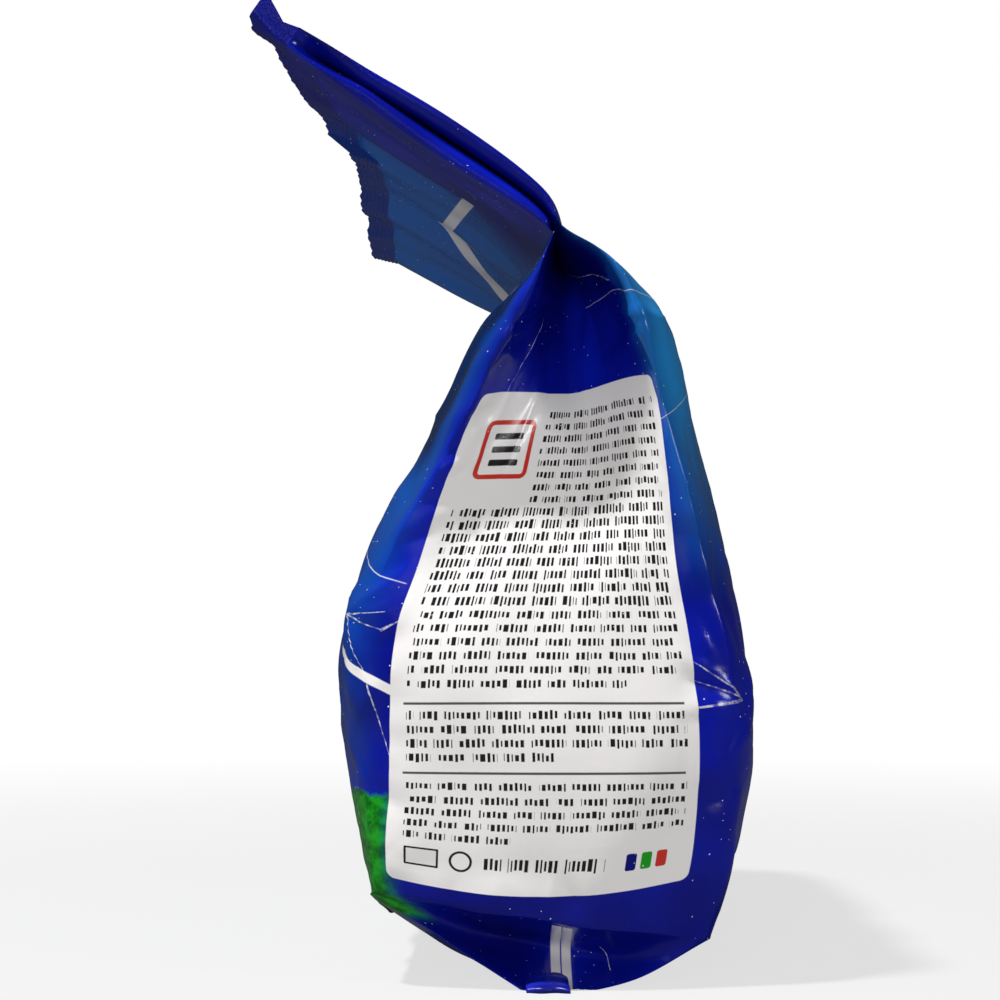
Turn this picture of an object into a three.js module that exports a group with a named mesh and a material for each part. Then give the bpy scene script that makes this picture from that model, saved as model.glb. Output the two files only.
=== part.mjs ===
// A sealed bag of laundry powder: a printed film tube with a gusset in each side, filled, standing on its
// pressed-flat bottom, with its empty top pinched and bent over to the front as a flap that ends in a
// crimped seal. X runs from the front panel to the back panel, Y along both seals, from the near gusset to
// the far one, and Z up. The origin is the middle of the bottom seal, on the floor.
import * as THREE from 'three';

const { clamp, degToRad, lerp, smoothstep } = THREE.MathUtils;

// Driving dimensions, in millimetres.
const BAG_WIDTH = 140;            // length of both seals
const BODY_DEPTH = 69;            // front ridges to back ridges where the bag is fullest
const PINCH_HEIGHT = 128.3;       // floor to the near end of the pinch
const PINCH_FALL = 1.5;           // how much lower the far end of the pinch lies
const FRONT_CORNER_HEIGHT = 17;   // floor to the bottom corners of the front panel
const BACK_CORNER_HEIGHT = 8.5;   // floor to the bottom corners of the back panel
const BASE_TURN = 8;              // floor to where the middle of each panel has turned upright
const MID_HEIGHT = 62;            // floor to the middle of the filled body
const SETTLE = 0.8;               // how far the bottom is pressed flat by its own weight
const RIDGE_DRAW = 4;             // how far each ridge draws in where the filled panels bow outwards
const RIDGE_ROUND = 3.2;          // how widely the film is rounded over its ridges
const PANEL_SWELL = 4.5;          // how far the front and back panels bow out past their ridges
const GUSSET_SWELL = 6;           // how far the filled gussets bow out past their ridges
const GUSSET_DEPTH = 64;          // width of the film in each gusset, from ridge to ridge
const LIP_TUCK = 14;              // how deep the gussets are folded in above the bottom seal's ends
const LIP_DROP = 1.6;             // how far the lips sag beside the bottom seal, towards the back
const BOTTOM_TAB = 7;             // width of the bottom seal where it shows at both ends
const FACET_HEIGHT = 0.9;         // height of the broad facets of the filled panels
const GATHER_HEIGHT = 1.5;        // height of the pleats below the pinch
const FLAP_LENGTH = 64;           // pinch to the cut edge, along the near edge of the flap
const FAR_FLAP_LENGTH = 43;       // the same along the far, crumpled edge
const FLAP_ARCH = 2.2;            // how far the flap is arched along its length
const FLAP_GAPE = 7;              // opening between the two folded ridges along the flap's near edge
const FLAP_CREST = 5;             // height of the long crease along the underside of the flap
const FLAP_CRUMPLE = 0.5;         // height of the long folds of the flap
const FOLD_GAP = 0.5;             // least gap between the folded layers of a gusset inside the flap
const SEAL_WIDTH = 9;             // width of the crimped band at the cut edge
const SEAL_THICKNESS = 0.9;       // thickness of the crimped band
const SEAL_STEP = 7.5;            // how far the seal is set back beyond the long crease
const SEAL_SLANT = 2.8;           // how far the cut edge falls back from the near end to the long crease
const CORNER_WIDTH = 5;           // the turned-up corner of the seal, along the cut edge
const CORNER_LENGTH = 6;          // the same along the near edge of the flap
const CORNER_LIFT = 4;            // how far that corner is turned up
const RIB_HEIGHT = 0.2;           // height of the crimp's ribs above and below its middle

// Angles, counts and proportions of the folds.
const FLAP_PITCH = degToRad(34.8);      // near edge of the flap above level
const FAR_FLAP_PITCH = degToRad(25.5);  // far edge of the flap above level
const CREASE_START = 0.05;        // place of the long crease at the pinch, as a share of the width
const CREASE_PLACE = 0.43;        // the same at the seal
const VALLEY_SHIFT = 0.12;        // how far a tucked gusset's valley lies towards the back, as a share
const GATHER_COUNT = 18;          // pleats round the whole film
const GATHER_SWAY = 0.4;          // how uneven they are
const GATHER_SWAYS = 7;           // how often that changes round the film
const FLAP_CLOSING = 11;          // higher closes the gusset's halves nearer to the flap's edge
const FLAP_INROLL = 1.6;          // higher rolls the flap's edges rounder
const FLAP_ROUNDNESS = 0.5;       // how far the rounding of the ridges reaches onto the flap
const UPRIGHT_ROUNDNESS = 0.15;   // the same on the ridges below the pinch
const ROUND_SPAN = [0.3, 0.62];   // share of the body over which its ridges turn from round to sharp
const CLOSING_SPAN = [0, 0.12];   // share of the flap over which its gussets close
const OPENING_SPAN = [0.7, 0.85]; // share of the flap over which they end before the seal
const CREASE_SPAN = [0, 0.8];     // share of the flap over which the long crease wanders to its place
const FOLD_SPAN = [0.12, 0.5];    // share of the flap over which its long folds grow
const UNROLLING_SPAN = [0.8, 1];  // share of the way to the seal over which the flap's edges turn sharp
const BASE_FLATNESS = 2.2;        // higher is flatter across the bottom
const PANEL_FLATNESS = 5;         // higher is flatter across the front and back panels

// The broad facets of the filled panels: how often each set of folds goes round the film, the height that it
// climbs in one fold, its share of the facet height, and its place. The long folds of the flap: the width and
// length of one fold, its share of the crumple, and its place.
const FACETS = [
  { count: 11, climb: 62, share: 0.5, start: 0 },
  { count: 15, climb: -45, share: 0.4, start: 0.3 },
  { count: 5, climb: 33, share: 0.35, start: 0.15 },
];
const FLAP_FOLDS = [
  { width: 31, length: 90, share: 1, start: 0 },
  { width: 19, length: -140, share: 0.7, start: 0.4 },
];

// Where the relief fades: heights above and below the middle of the body, and distances from the near gusset.
const GATHER_RISE = [25, 48];
const RELIEF_FOOT = [-58, -40];
const RELIEF_HEAD = [52, 63];
const RELIEF_EDGE = [-4, 8];      // before and past the near ridges

// How finely the film is divided.
const GUSSET_STEPS = 9;           // from a ridge to the middle of its gusset
const PANEL_STEPS = 32;           // from the near ridges to the far ridges
const BASE_ROWS = 7;
const BODY_ROWS = 24;
const FLAP_ROWS = 12;
const RIB_COUNT = 4;

const FILM_COLOUR = 0x0a1a78;

const halfWidth = BAG_WIDTH / 2;
const halfDepth = BODY_DEPTH / 2;
const halfGusset = GUSSET_DEPTH / 2;
const filmLength = 2 * (GUSSET_DEPTH + BAG_WIDTH);
const farScale = 1 - PINCH_FALL / PINCH_HEIGHT;
const sealRoot = 1 - SEAL_WIDTH / FLAP_LENGTH;
const vector = (x, y, z) => new THREE.Vector3(x, y, z);
const flapForward = vector(-Math.cos(FLAP_PITCH), 0, Math.sin(FLAP_PITCH));
const flapUp = vector(Math.sin(FLAP_PITCH), 0, Math.cos(FLAP_PITCH));

// The rails that a ring of film is drawn through: four ridges, the middles of the two gussets and of the two
// panels, and two shifts that only the flap has.
const RAIL_NAMES = [
  'frontNear', 'backNear', 'gussetNear', 'frontFar', 'backFar', 'gussetFar',
  'frontMiddle', 'backMiddle', 'crest', 'setback',
];

const ramp = (value, [low, high]) => smoothstep(value, low, high);
const between = (a, b, share) => a.clone().lerp(b, share);
const middle = (a, b) => between(a, b, 0.5);
const noFlapShift = () => ({ crest: vector(0, 0, 0), setback: vector(0, 0, 0) });

// How deep a gusset of this film folds inwards between two ridges that are closer than its own width.
function foldedInset(ridge, otherRidge) {
  const halfSpan = ridge.distanceTo(otherRidge) / 2;
  return Math.sqrt(Math.max(0, halfGusset ** 2 - halfSpan ** 2));
}

// A station of the filled bag. Each ridge is a reach, as a share of half the depth, and a rise, as a share of
// the way from its bottom corner to the pinch. The bows of the front and back panels, the swell of the
// gussets and how far the ridges are drawn in are shares of their full sizes, and a tuck of 1 folds the
// gussets in as deep as their film allows.
function bodyStation({ front, back, bows, gussetSwell, tuck, drawn }) {
  const ridge = ([reach, rise], cornerHeight, side) => vector(
    reach * halfDepth,
    side * (halfWidth - drawn * RIDGE_DRAW),
    lerp(cornerHeight, PINCH_HEIGHT, rise) * (side < 0 ? 1 : farScale),
  );
  const frontNear = ridge(front, FRONT_CORNER_HEIGHT, -1);
  const backNear = ridge(back, BACK_CORNER_HEIGHT, -1);
  const frontFar = ridge(front, FRONT_CORNER_HEIGHT, 1);
  const backFar = ridge(back, BACK_CORNER_HEIGHT, 1);
  const inset = vector(0, tuck * foldedInset(frontNear, backNear) - gussetSwell * GUSSET_SWELL, 0);
  const valley = 0.5 + VALLEY_SHIFT * tuck;
  const bow = (amount) => vector(amount * PANEL_SWELL, 0, 0);
  return {
    frontNear,
    backNear,
    gussetNear: between(frontNear, backNear, valley).add(inset),
    frontFar,
    backFar,
    gussetFar: between(frontFar, backFar, valley).sub(inset),
    frontMiddle: middle(frontNear, frontFar).sub(bow(bows[0])),
    backMiddle: middle(backNear, backFar).add(bow(bows[1])),
    ...noFlapShift(),
  };
}

// The middles of the panels at the bottom corner, where they have just turned up from the floor.
function turnedUp(station) {
  station.frontMiddle.z = BASE_TURN;
  station.backMiddle.z = BASE_TURN;
  return station;
}

// The bottom seal: a narrow slit along Y on the floor, as wide as the tab that shows at its ends.
function sealStation() {
  const at = (side, end) => vector(side * BOTTOM_TAB / 2, end * halfWidth, 0);
  return {
    frontNear: at(-1, -1),
    backNear: at(1, -1),
    gussetNear: at(0, -1),
    frontFar: at(-1, 1),
    backFar: at(1, 1),
    gussetFar: at(0, 1),
    frontMiddle: at(-1, 0),
    backMiddle: at(1, 0),
    ...noFlapShift(),
  };
}

// The deepest line of the folds over the bottom seal's ends, halfway between the seal and the bottom corners.
// The panels lie on the floor there, and their ridges are halfway up to the corners.
function recessStation(seal, corner) {
  const station = {};
  for (const name of RAIL_NAMES) {
    station[name] = middle(seal[name], corner[name]);
  }
  station.gussetNear.y = LIP_TUCK - halfWidth;
  station.gussetFar.y = halfWidth - LIP_TUCK;
  station.backNear.z -= LIP_DROP;
  station.backFar.z -= LIP_DROP;
  station.frontMiddle.z = 0;
  station.backMiddle.z = 0;
  return station;
}

// One edge of the flap at a place along it: its two ridges, and the middle of the gusset folded in between.
function flapEdge(start, { length, pitch, side, along, arch, gape, tuck }) {
  const direction = vector(-Math.cos(pitch), 0, Math.sin(pitch));
  const upward = vector(Math.sin(pitch), 0, Math.cos(pitch));
  const centre = start.clone().addScaledVector(direction, along * length);
  centre.addScaledVector(upward, arch * FLAP_ARCH);
  centre.y = side * halfWidth;
  return {
    front: centre.clone().addScaledVector(upward, -gape / 2),
    back: centre.clone().addScaledVector(upward, gape / 2),
    gusset: centre.clone().add(vector(0, -side * tuck * halfGusset, 0)),
  };
}

// A station of the flap, at a share of its length from the pinch, with its arch, crest and setback as shares,
// and the gapes of its near and far edges in millimetres.
function flapStation(pinch, { along, arch, gapes, fade, tuck, crest, setback }) {
  const near = flapEdge(middle(pinch.frontNear, pinch.backNear), {
    length: FLAP_LENGTH, pitch: FLAP_PITCH, side: -1, along, arch, gape: gapes[0], tuck,
  });
  const far = flapEdge(middle(pinch.frontFar, pinch.backFar), {
    length: FAR_FLAP_LENGTH, pitch: FAR_FLAP_PITCH, side: 1, along, arch, gape: gapes[1], tuck,
  });
  const frontBow = pinch.frontMiddle.clone().sub(middle(pinch.frontNear, pinch.frontFar));
  const backBow = pinch.backMiddle.clone().sub(middle(pinch.backNear, pinch.backFar));
  return {
    frontNear: near.front,
    backNear: near.back,
    gussetNear: near.gusset,
    frontFar: far.front,
    backFar: far.back,
    gussetFar: far.gusset,
    frontMiddle: middle(near.front, far.front).addScaledVector(frontBow, fade),
    backMiddle: middle(near.back, far.back).addScaledVector(backBow, fade),
    crest: flapUp.clone().multiplyScalar(crest * FLAP_CREST),
    setback: flapForward.clone().multiplyScalar(-setback),
  };
}

// A smooth curve along each rail through the stations of one stretch of the bag.
function railsThrough(stations) {
  const curves = {};
  for (const name of RAIL_NAMES) {
    const points = stations.map((station) => station[name]);
    curves[name] = new THREE.CatmullRomCurve3(points, false, 'catmullrom', 0.5);
  }
  return (along) => {
    const rails = {};
    for (const name of RAIL_NAMES) {
      rails[name] = curves[name].getPoint(along);
    }
    return rails;
  };
}

// Half a gusset, from its ridge (0) to its middle (1): curved in where it is tucked, bowed where it swells.
// On the flap its two halves first close on each other and then run in together.
function gussetPoint(ridge, otherRidge, gusset, across, closing) {
  const centre = middle(ridge, otherRidge);
  const outward = Math.abs(gusset.y) - Math.abs(ridge.y);
  const bowed = smoothstep(outward, 0, GUSSET_SWELL / 2);
  const tucked = lerp(Math.sin(across * Math.PI / 2), across ** FLAP_INROLL, closing);
  const profile = lerp(tucked, 1 - (1 - across) ** 2, bowed);
  const closed = 1 - (1 - across) ** lerp(1, FLAP_CLOSING, closing);
  const apart = across < 1 ? closing * FOLD_GAP / ridge.distanceTo(otherRidge) : 0;
  return between(ridge, centre, Math.min(closed, 1 - apart))
    .addScaledVector(gusset.clone().sub(centre), profile);
}

// A point across a panel, from its near ridge (0) to its far ridge (1), bowed through its middle.
function panelPoint(near, centre, far, across, flatness) {
  const bow = centre.clone().sub(middle(near, far));
  const profile = 1 - Math.abs(2 * across - 1) ** flatness;
  return between(near, far, across).addScaledVector(bow, profile);
}

// What the flap's long crease, the slant and step of its seal, its turned-up corner and its long folds add to
// a point, by its place across the width.
function flapShift(rails, along, point) {
  const reach = clamp((point.y + halfWidth) / BAG_WIDTH, 0, 1);
  const place = lerp(CREASE_START, CREASE_PLACE, ramp(along, CREASE_SPAN));
  const beyond = (reach - place) / (1 - place);
  const tent = beyond < 0 ? reach / place : 1 - beyond;
  const step = beyond < 0 ? SEAL_SLANT * reach / place : SEAL_STEP * (1 - beyond);
  const inside = 1 - reach * BAG_WIDTH / CORNER_WIDTH - (1 - along) * FLAP_LENGTH / CORNER_LENGTH;
  const folds = flapFolds(point.y, along * FLAP_LENGTH) * ramp(along, FOLD_SPAN);
  return rails.crest.clone().multiplyScalar(tent)
    .addScaledVector(rails.setback, step)
    .addScaledVector(flapUp, Math.max(0, inside) * CORNER_LIFT + folds);
}

// A triangle wave between -1 and 1: straight facets between sharp folds.
const foldWave = (turns) => 4 * Math.abs(turns - Math.floor(turns) - 0.5) - 1;

// The long folds of the flap: triangle waves across the width that lean as they run along it.
function flapFolds(across, along) {
  const height = (sum, { width, length, share, start }) => (
    sum + share * foldWave(across / width + along / length + start));
  return FLAP_CRUMPLE * FLAP_FOLDS.reduce(height, 0);
}

// The large facets of the filled film: triangle waves that run round it in different directions.
function broadFacets(turns, level) {
  const height = (sum, { count, climb, share, start }) => (
    sum + share * foldWave(count * turns + level / climb + start));
  return FACET_HEIGHT * FACETS.reduce(height, 0);
}

// The pleats below the pinch: uneven half waves round the film, growing upwards.
function gathers(turns, level) {
  const uneven = GATHER_COUNT * turns + GATHER_SWAY * Math.sin(2 * Math.PI * GATHER_SWAYS * turns);
  return GATHER_HEIGHT * Math.abs(Math.sin(Math.PI * uneven)) * ramp(level, GATHER_RISE);
}

// Facets and pleats together, away from the near gusset, the bottom corners and the pinch.
function broadRelief(around, level) {
  const turns = around / filmLength;
  const offSide = ramp(Math.abs(around) - halfGusset, RELIEF_EDGE);
  const offEnds = ramp(level, RELIEF_FOOT) * (1 - ramp(level, RELIEF_HEAD));
  return (broadFacets(turns, level) + gathers(turns, level)) * offSide * offEnds;
}

// The place of every point of a ring on the film, in millimetres from the middle of the near gusset: the ring
// runs from there round by the back panel, the far gusset and the front panel.
function aroundFilm() {
  const places = [];
  const add = (start, length, steps) => {
    for (let step = 0; step < steps; step += 1) {
      places.push(start + length * step / steps);
    }
  };
  add(0, halfGusset, GUSSET_STEPS);
  add(halfGusset, BAG_WIDTH, PANEL_STEPS);
  add(halfGusset + BAG_WIDTH, GUSSET_DEPTH, 2 * GUSSET_STEPS);
  add(-halfGusset - BAG_WIDTH, BAG_WIDTH, PANEL_STEPS);
  add(-halfGusset, halfGusset, GUSSET_STEPS);
  return places;
}

// One closed ring of film in the same order. Its two halves pair up point by point, back against front.
function filmRing(rails, flatness, along) {
  const { frontNear, backNear, gussetNear, frontFar, backFar, gussetFar, frontMiddle, backMiddle } = rails;
  const closing = ramp(along, CLOSING_SPAN) * (1 - ramp(along, OPENING_SPAN));
  const ring = [];
  for (let step = GUSSET_STEPS; step > 0; step -= 1) {
    ring.push(gussetPoint(backNear, frontNear, gussetNear, step / GUSSET_STEPS, closing));
  }
  for (let step = 0; step < PANEL_STEPS; step += 1) {
    ring.push(panelPoint(backNear, backMiddle, backFar, step / PANEL_STEPS, flatness));
  }
  for (let step = 0; step < GUSSET_STEPS; step += 1) {
    ring.push(gussetPoint(backFar, frontFar, gussetFar, step / GUSSET_STEPS, closing));
  }
  for (let step = GUSSET_STEPS; step > 0; step -= 1) {
    ring.push(gussetPoint(frontFar, backFar, gussetFar, step / GUSSET_STEPS, closing));
  }
  for (let step = PANEL_STEPS; step > 0; step -= 1) {
    ring.push(panelPoint(frontNear, frontMiddle, frontFar, step / PANEL_STEPS, flatness));
  }
  for (let step = 0; step < GUSSET_STEPS; step += 1) {
    ring.push(gussetPoint(frontNear, backNear, gussetNear, step / GUSSET_STEPS, closing));
  }
  return along > 0 ? ring.map((point) => point.add(flapShift(rails, along, point))) : ring;
}

// The weights of a moving average round the film, a bell curve as wide as the rounding of the ridges.
function roundingWeights(places) {
  const count = places.length;
  const apart = (a, b) => {
    const gap = Math.abs(a - b);
    return Math.min(gap, filmLength - gap);
  };
  return places.map((place) => {
    const row = places.map((other, index) => {
      const spacing = apart(places[(index + 1) % count], places[(index + count - 1) % count]) / 2;
      return spacing * Math.exp(-0.5 * (apart(place, other) / RIDGE_ROUND) ** 2);
    });
    const total = row.reduce((sum, weight) => sum + weight, 0);
    return row.map((weight) => weight / total);
  });
}

// Rounds the ridges of a ring: each point moves some way to the moving average of its neighbours.
function rounded(ring, weights, amount) {
  return ring.map((point, index) => {
    const average = vector(0, 0, 0);
    ring.forEach((other, place) => average.addScaledVector(other, weights[index][place]));
    return point.clone().lerp(average, amount);
  });
}

function bodyStations() {
  return [
    turnedUp(bodyStation({
      front: [-0.89, 0], back: [0.79, 0], bows: [-0.9, -0.2], gussetSwell: 0.8, tuck: 0, drawn: 0.9,
    })),
    bodyStation({
      front: [-0.925, 0.145], back: [0.91, 0.136], bows: [0.6, 0.5], gussetSwell: 1.1, tuck: 0, drawn: 1,
    }),
    bodyStation({
      front: [-0.94, 0.405], back: [0.92, 0.35], bows: [0.85, 1], gussetSwell: 0.8, tuck: 0, drawn: 1,
    }),
    bodyStation({
      front: [-0.49, 0.666], back: [0.63, 0.667], bows: [1.4, 1.55], gussetSwell: 0, tuck: 0.3, drawn: 0.7,
    }),
    bodyStation({
      front: [-0.13, 0.88], back: [0.36, 0.925], bows: [1.1, 0.9], gussetSwell: 0, tuck: 0.75, drawn: 0.3,
    }),
    bodyStation({
      front: [0.023, 0.99], back: [0.058, 1], bows: [0.4, 0.4], gussetSwell: 0, tuck: 1, drawn: 0,
    }),
  ];
}

function flapStations(pinch) {
  const bent = { along: 0.11, gapes: [0.75 * FLAP_GAPE, 0.5 * FLAP_GAPE], tuck: 1 };
  const open = { along: 0.42, gapes: [FLAP_GAPE, 0.6 * FLAP_GAPE], tuck: 0.9 };
  const root = { along: sealRoot, gapes: [0.5 * FLAP_GAPE, SEAL_THICKNESS], tuck: 0 };
  return [
    pinch,
    flapStation(pinch, { ...bent, arch: 0.85, fade: 0.8, crest: 0.2, setback: 0 }),
    flapStation(pinch, { ...open, arch: 1, fade: 0.3, crest: 0.8, setback: 0.1 }),
    flapStation(pinch, { ...root, arch: 0.65, fade: 0, crest: 0.7, setback: 0.85 }),
  ];
}

function crimpStations(pinch, root) {
  const end = { along: 1, gapes: [SEAL_THICKNESS, SEAL_THICKNESS], tuck: 0 };
  return [root, flapStation(pinch, { ...end, arch: 0, fade: 0, crest: 0.6, setback: 1 })];
}

// All the rings, from the bottom seal up the body and out along the flap to the cut edge of its crimped seal.
function allRings() {
  const body = bodyStations();
  const seal = sealStation();
  const base = [seal, recessStation(seal, body[0]), body[0]];
  const flap = flapStations(body[body.length - 1]);
  const crimp = crimpStations(body[body.length - 1], flap[flap.length - 1]);
  const weights = roundingWeights(aroundFilm());
  const rings = [];
  const addStretch = (stations, rows, flatness, roundness, flapPlace) => {
    const railsAt = railsThrough(stations);
    for (let row = rings.length === 0 ? 0 : 1; row <= rows; row += 1) {
      const along = row / rows;
      rings.push(rounded(filmRing(railsAt(along), flatness, flapPlace(along)), weights, roundness(along)));
    }
  };
  const upright = (along) => lerp(1, UPRIGHT_ROUNDNESS, ramp(along, ROUND_SPAN));
  const rolled = (along) => FLAP_ROUNDNESS * (1 - ramp(along, UNROLLING_SPAN));
  addStretch(base, BASE_ROWS, BASE_FLATNESS, (along) => along ** 2, () => 0);
  addStretch(body, BODY_ROWS, PANEL_FLATNESS, upright, () => 0);
  const bodyRings = rings.length;
  addStretch(flap, FLAP_ROWS, PANEL_FLATNESS, rolled, (along) => along * sealRoot);
  const flapRings = rings.length;
  addStretch(crimp, 2 * RIB_COUNT, PANEL_FLATNESS, () => 0, (along) => lerp(sealRoot, 1, along));
  crumple(rings.slice(0, bodyRings + 1));
  crimpRibs(rings.slice(flapRings));
  return rings;
}

// Lifts the facets and pleats of the filled body off its smooth rings, along the film's normals. The last
// ring only lends its place.
function crumple(rings) {
  const places = aroundFilm();
  const count = places.length;
  const lifts = rings.map((ring, row) => ring.map((point, index) => {
    const above = rings[Math.min(row + 1, rings.length - 1)][index];
    const below = rings[Math.max(row - 1, 0)][index];
    const sideways = ring[(index + 1) % count].clone().sub(ring[(index + count - 1) % count]);
    const normal = sideways.cross(above.clone().sub(below)).normalize();
    return normal.multiplyScalar(broadRelief(places[index], point.z - MID_HEIGHT));
  }));
  for (let row = 0; row + 1 < rings.length; row += 1) {
    rings[row].forEach((point, index) => point.add(lifts[row][index]));
  }
}

// Raises and lowers the rows of the crimped seal by turns.
function crimpRibs(rings) {
  rings.forEach((ring, row) => {
    const side = row % 2 === 0 ? 1 : -1;
    ring.forEach((point) => point.addScaledVector(flapUp, side * RIB_HEIGHT));
  });
}

// Lofts the rings into one closed skin, with the bottom slit and the cut edge of the seal closed flat.
function closedSkin(rings) {
  const count = rings[0].length;
  const positions = [];
  for (const ring of rings) {
    for (const point of ring) {
      positions.push(point.x, point.y, Math.max(0, point.z - SETTLE));
    }
  }
  const triangles = [];
  for (let row = 0; row + 1 < rings.length; row += 1) {
    for (let place = 0; place < count; place += 1) {
      const next = (place + 1) % count;
      const low = row * count;
      const high = low + count;
      triangles.push(low + place, low + next, high + next);
      triangles.push(low + place, high + next, high + place);
    }
  }
  const closeRing = (start, upwards) => {
    for (let place = 0; place < count / 2; place += 1) {
      const a = start + place;
      const b = start + place + 1;
      const c = start + (count - place - 1) % count;
      const d = start + (count - place) % count;
      const pieces = [[a, b, c], [a, c, d]];
      for (const [p, q, r] of pieces) {
        if (p === q || q === r || r === p) continue;
        triangles.push(...(upwards ? [p, q, r] : [p, r, q]));
      }
    }
  };
  closeRing(0, false);
  closeRing((rings.length - 1) * count, true);
  const geometry = new THREE.BufferGeometry();
  geometry.setAttribute('position', new THREE.Float32BufferAttribute(positions, 3));
  geometry.setIndex(triangles);
  geometry.computeVertexNormals();
  return geometry;
}

const film = new THREE.MeshStandardMaterial({ color: FILM_COLOUR, roughness: 0.25, metalness: 0 });
const powderBag = new THREE.Mesh(closedSkin(allRings()), film);
powderBag.name = 'powder_bag';

const bag = new THREE.Group();
bag.add(powderBag);

export default bag;
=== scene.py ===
"""A sealed film bag of laundry powder: the printed film skin, its crimped seals and a plain studio.

The skin is one surface of two parameters. Around runs once round the film tube, from the middle of the far
gusset by the front panel, the near gusset and the back panel. Along runs from the bottom seal up the filled
body, through the pinch and out along the flap to the cut edge. Sizes are written in millimetres, as on the
bag's drawing, and become metres where they meet Blender.
"""
import math

import bpy
import numpy as np
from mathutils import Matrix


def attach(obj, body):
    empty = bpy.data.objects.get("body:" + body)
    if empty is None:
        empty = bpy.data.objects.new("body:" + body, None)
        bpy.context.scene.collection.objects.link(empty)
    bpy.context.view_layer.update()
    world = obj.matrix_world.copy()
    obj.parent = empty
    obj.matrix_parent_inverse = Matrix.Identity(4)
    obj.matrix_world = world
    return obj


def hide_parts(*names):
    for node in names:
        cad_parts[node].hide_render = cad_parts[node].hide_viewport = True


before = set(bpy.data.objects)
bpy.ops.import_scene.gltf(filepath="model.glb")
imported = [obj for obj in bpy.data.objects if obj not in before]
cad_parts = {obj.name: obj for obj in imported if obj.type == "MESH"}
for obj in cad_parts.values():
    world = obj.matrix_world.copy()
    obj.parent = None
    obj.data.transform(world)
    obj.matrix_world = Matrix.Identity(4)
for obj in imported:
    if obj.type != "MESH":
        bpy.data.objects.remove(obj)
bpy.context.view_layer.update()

MM = 0.001

# Sizes of the bag
BAG_WIDTH = 140.0
BODY_DEPTH = 69.0
PINCH_HEIGHT = 128.3
PINCH_FALL = 1.5
FRONT_CORNER_HEIGHT = 17.0
BACK_CORNER_HEIGHT = 8.5
BASE_TURN = 8.0
SETTLE = 0.8
RIDGE_DRAW = 4.0
PANEL_SWELL = 4.5
GUSSET_SWELL = 6.0
GUSSET_DEPTH = 64.0
LIP_TUCK = 14.0
LIP_DROP = 1.6
BOTTOM_TAB = 7.0
FLAP_LENGTH = 64.0
FAR_FLAP_LENGTH = 43.0
FLAP_ARCH = 2.2
FLAP_GAPE = 7.0
FLAP_CREST = 5.0
SEAL_WIDTH = 9.0
SEAL_THICKNESS = 0.9
SEAL_STEP = 7.5
SEAL_SLANT = 2.8
TOOTH_PITCH = 3.2
TOOTH_DEPTH = 0.7
CORNER_WIDTH = 5.0
CORNER_LENGTH = 6.0
CORNER_LIFT = 4.0
FLAP_PITCH = math.radians(34.8)
FAR_FLAP_PITCH = math.radians(25.5)
CREASE_PLACE = 0.43
CREASE_START = 0.05
PANEL_GRADING = 0.45
BASE_FLATNESS = 2.2
PANEL_FLATNESS = 5.0
RIDGE_ROUND = 3.2
FLAP_CLOSING = 11.0
FLAP_INROLL = 1.6
FLAP_ROUNDNESS = 0.5
VALLEY_SHIFT = 0.12
MID_HEIGHT = 62.0
CRIMP_RIBS = 7
RIB_HEIGHT = 0.1

HALF_WIDTH = BAG_WIDTH / 2
HALF_DEPTH = BODY_DEPTH / 2
HALF_GUSSET = GUSSET_DEPTH / 2
FAR_RIDGE = HALF_GUSSET + BAG_WIDTH
FAR_SCALE = 1 - PINCH_FALL / PINCH_HEIGHT
FILM_LENGTH = 2 * (GUSSET_DEPTH + BAG_WIDTH)
FILM_SEAM = FILM_LENGTH / 2
FLAP_FORWARD = np.array([-math.cos(FLAP_PITCH), 0, math.sin(FLAP_PITCH)])
FLAP_UP = np.array([math.sin(FLAP_PITCH), 0, math.cos(FLAP_PITCH)])

# Where the rings change along the body (from 0 to 1) and along the flap (from 0 to 1)
UPRIGHT_SPAN = (0.3, 0.62)
UPRIGHT_ROUNDNESS = 0.15
ROLL_END = (0.8, 1.0)
CLOSING_RISE = (0.0, 0.12)
CLOSING_FALL = (0.7, 0.85)
CREASE_SPAN = (0.0, 0.8)
CORNER_LAYERS = (0.35, 1.15)
CRUMPLE_RISE = (0.12, 0.5)

# Broad relief of the body: a facet has its share, waves round the film, climb to a wave and start
FACET_HEIGHT = 0.9
FACETS = (
    (0.5, 11, 62.0, 0.0),
    (0.4, 15, -45.0, 0.3),
    (0.35, 5, 33.0, 0.15),
)
GATHER_HEIGHT = 1.5
GATHER_COUNT = 18
GATHER_SWAY = 0.4
GATHER_SWAYS = 7
GATHER_RISE = (25.0, 48.0)
OFF_SIDE = (HALF_GUSSET - 4, HALF_GUSSET + 8)
RELIEF_START = (-58.0, -40.0)
RELIEF_END = (52.0, 63.0)

# Long folds of the flap: share, width and length of a wave, and start
FLAP_CRUMPLE = 0.5
FLAP_FOLDS = (
    (1.0, 31.0, 90.0, 0.0),
    (0.7, 19.0, -140.0, 0.4),
)
FOLD_SHARPNESS = 0.9

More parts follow.
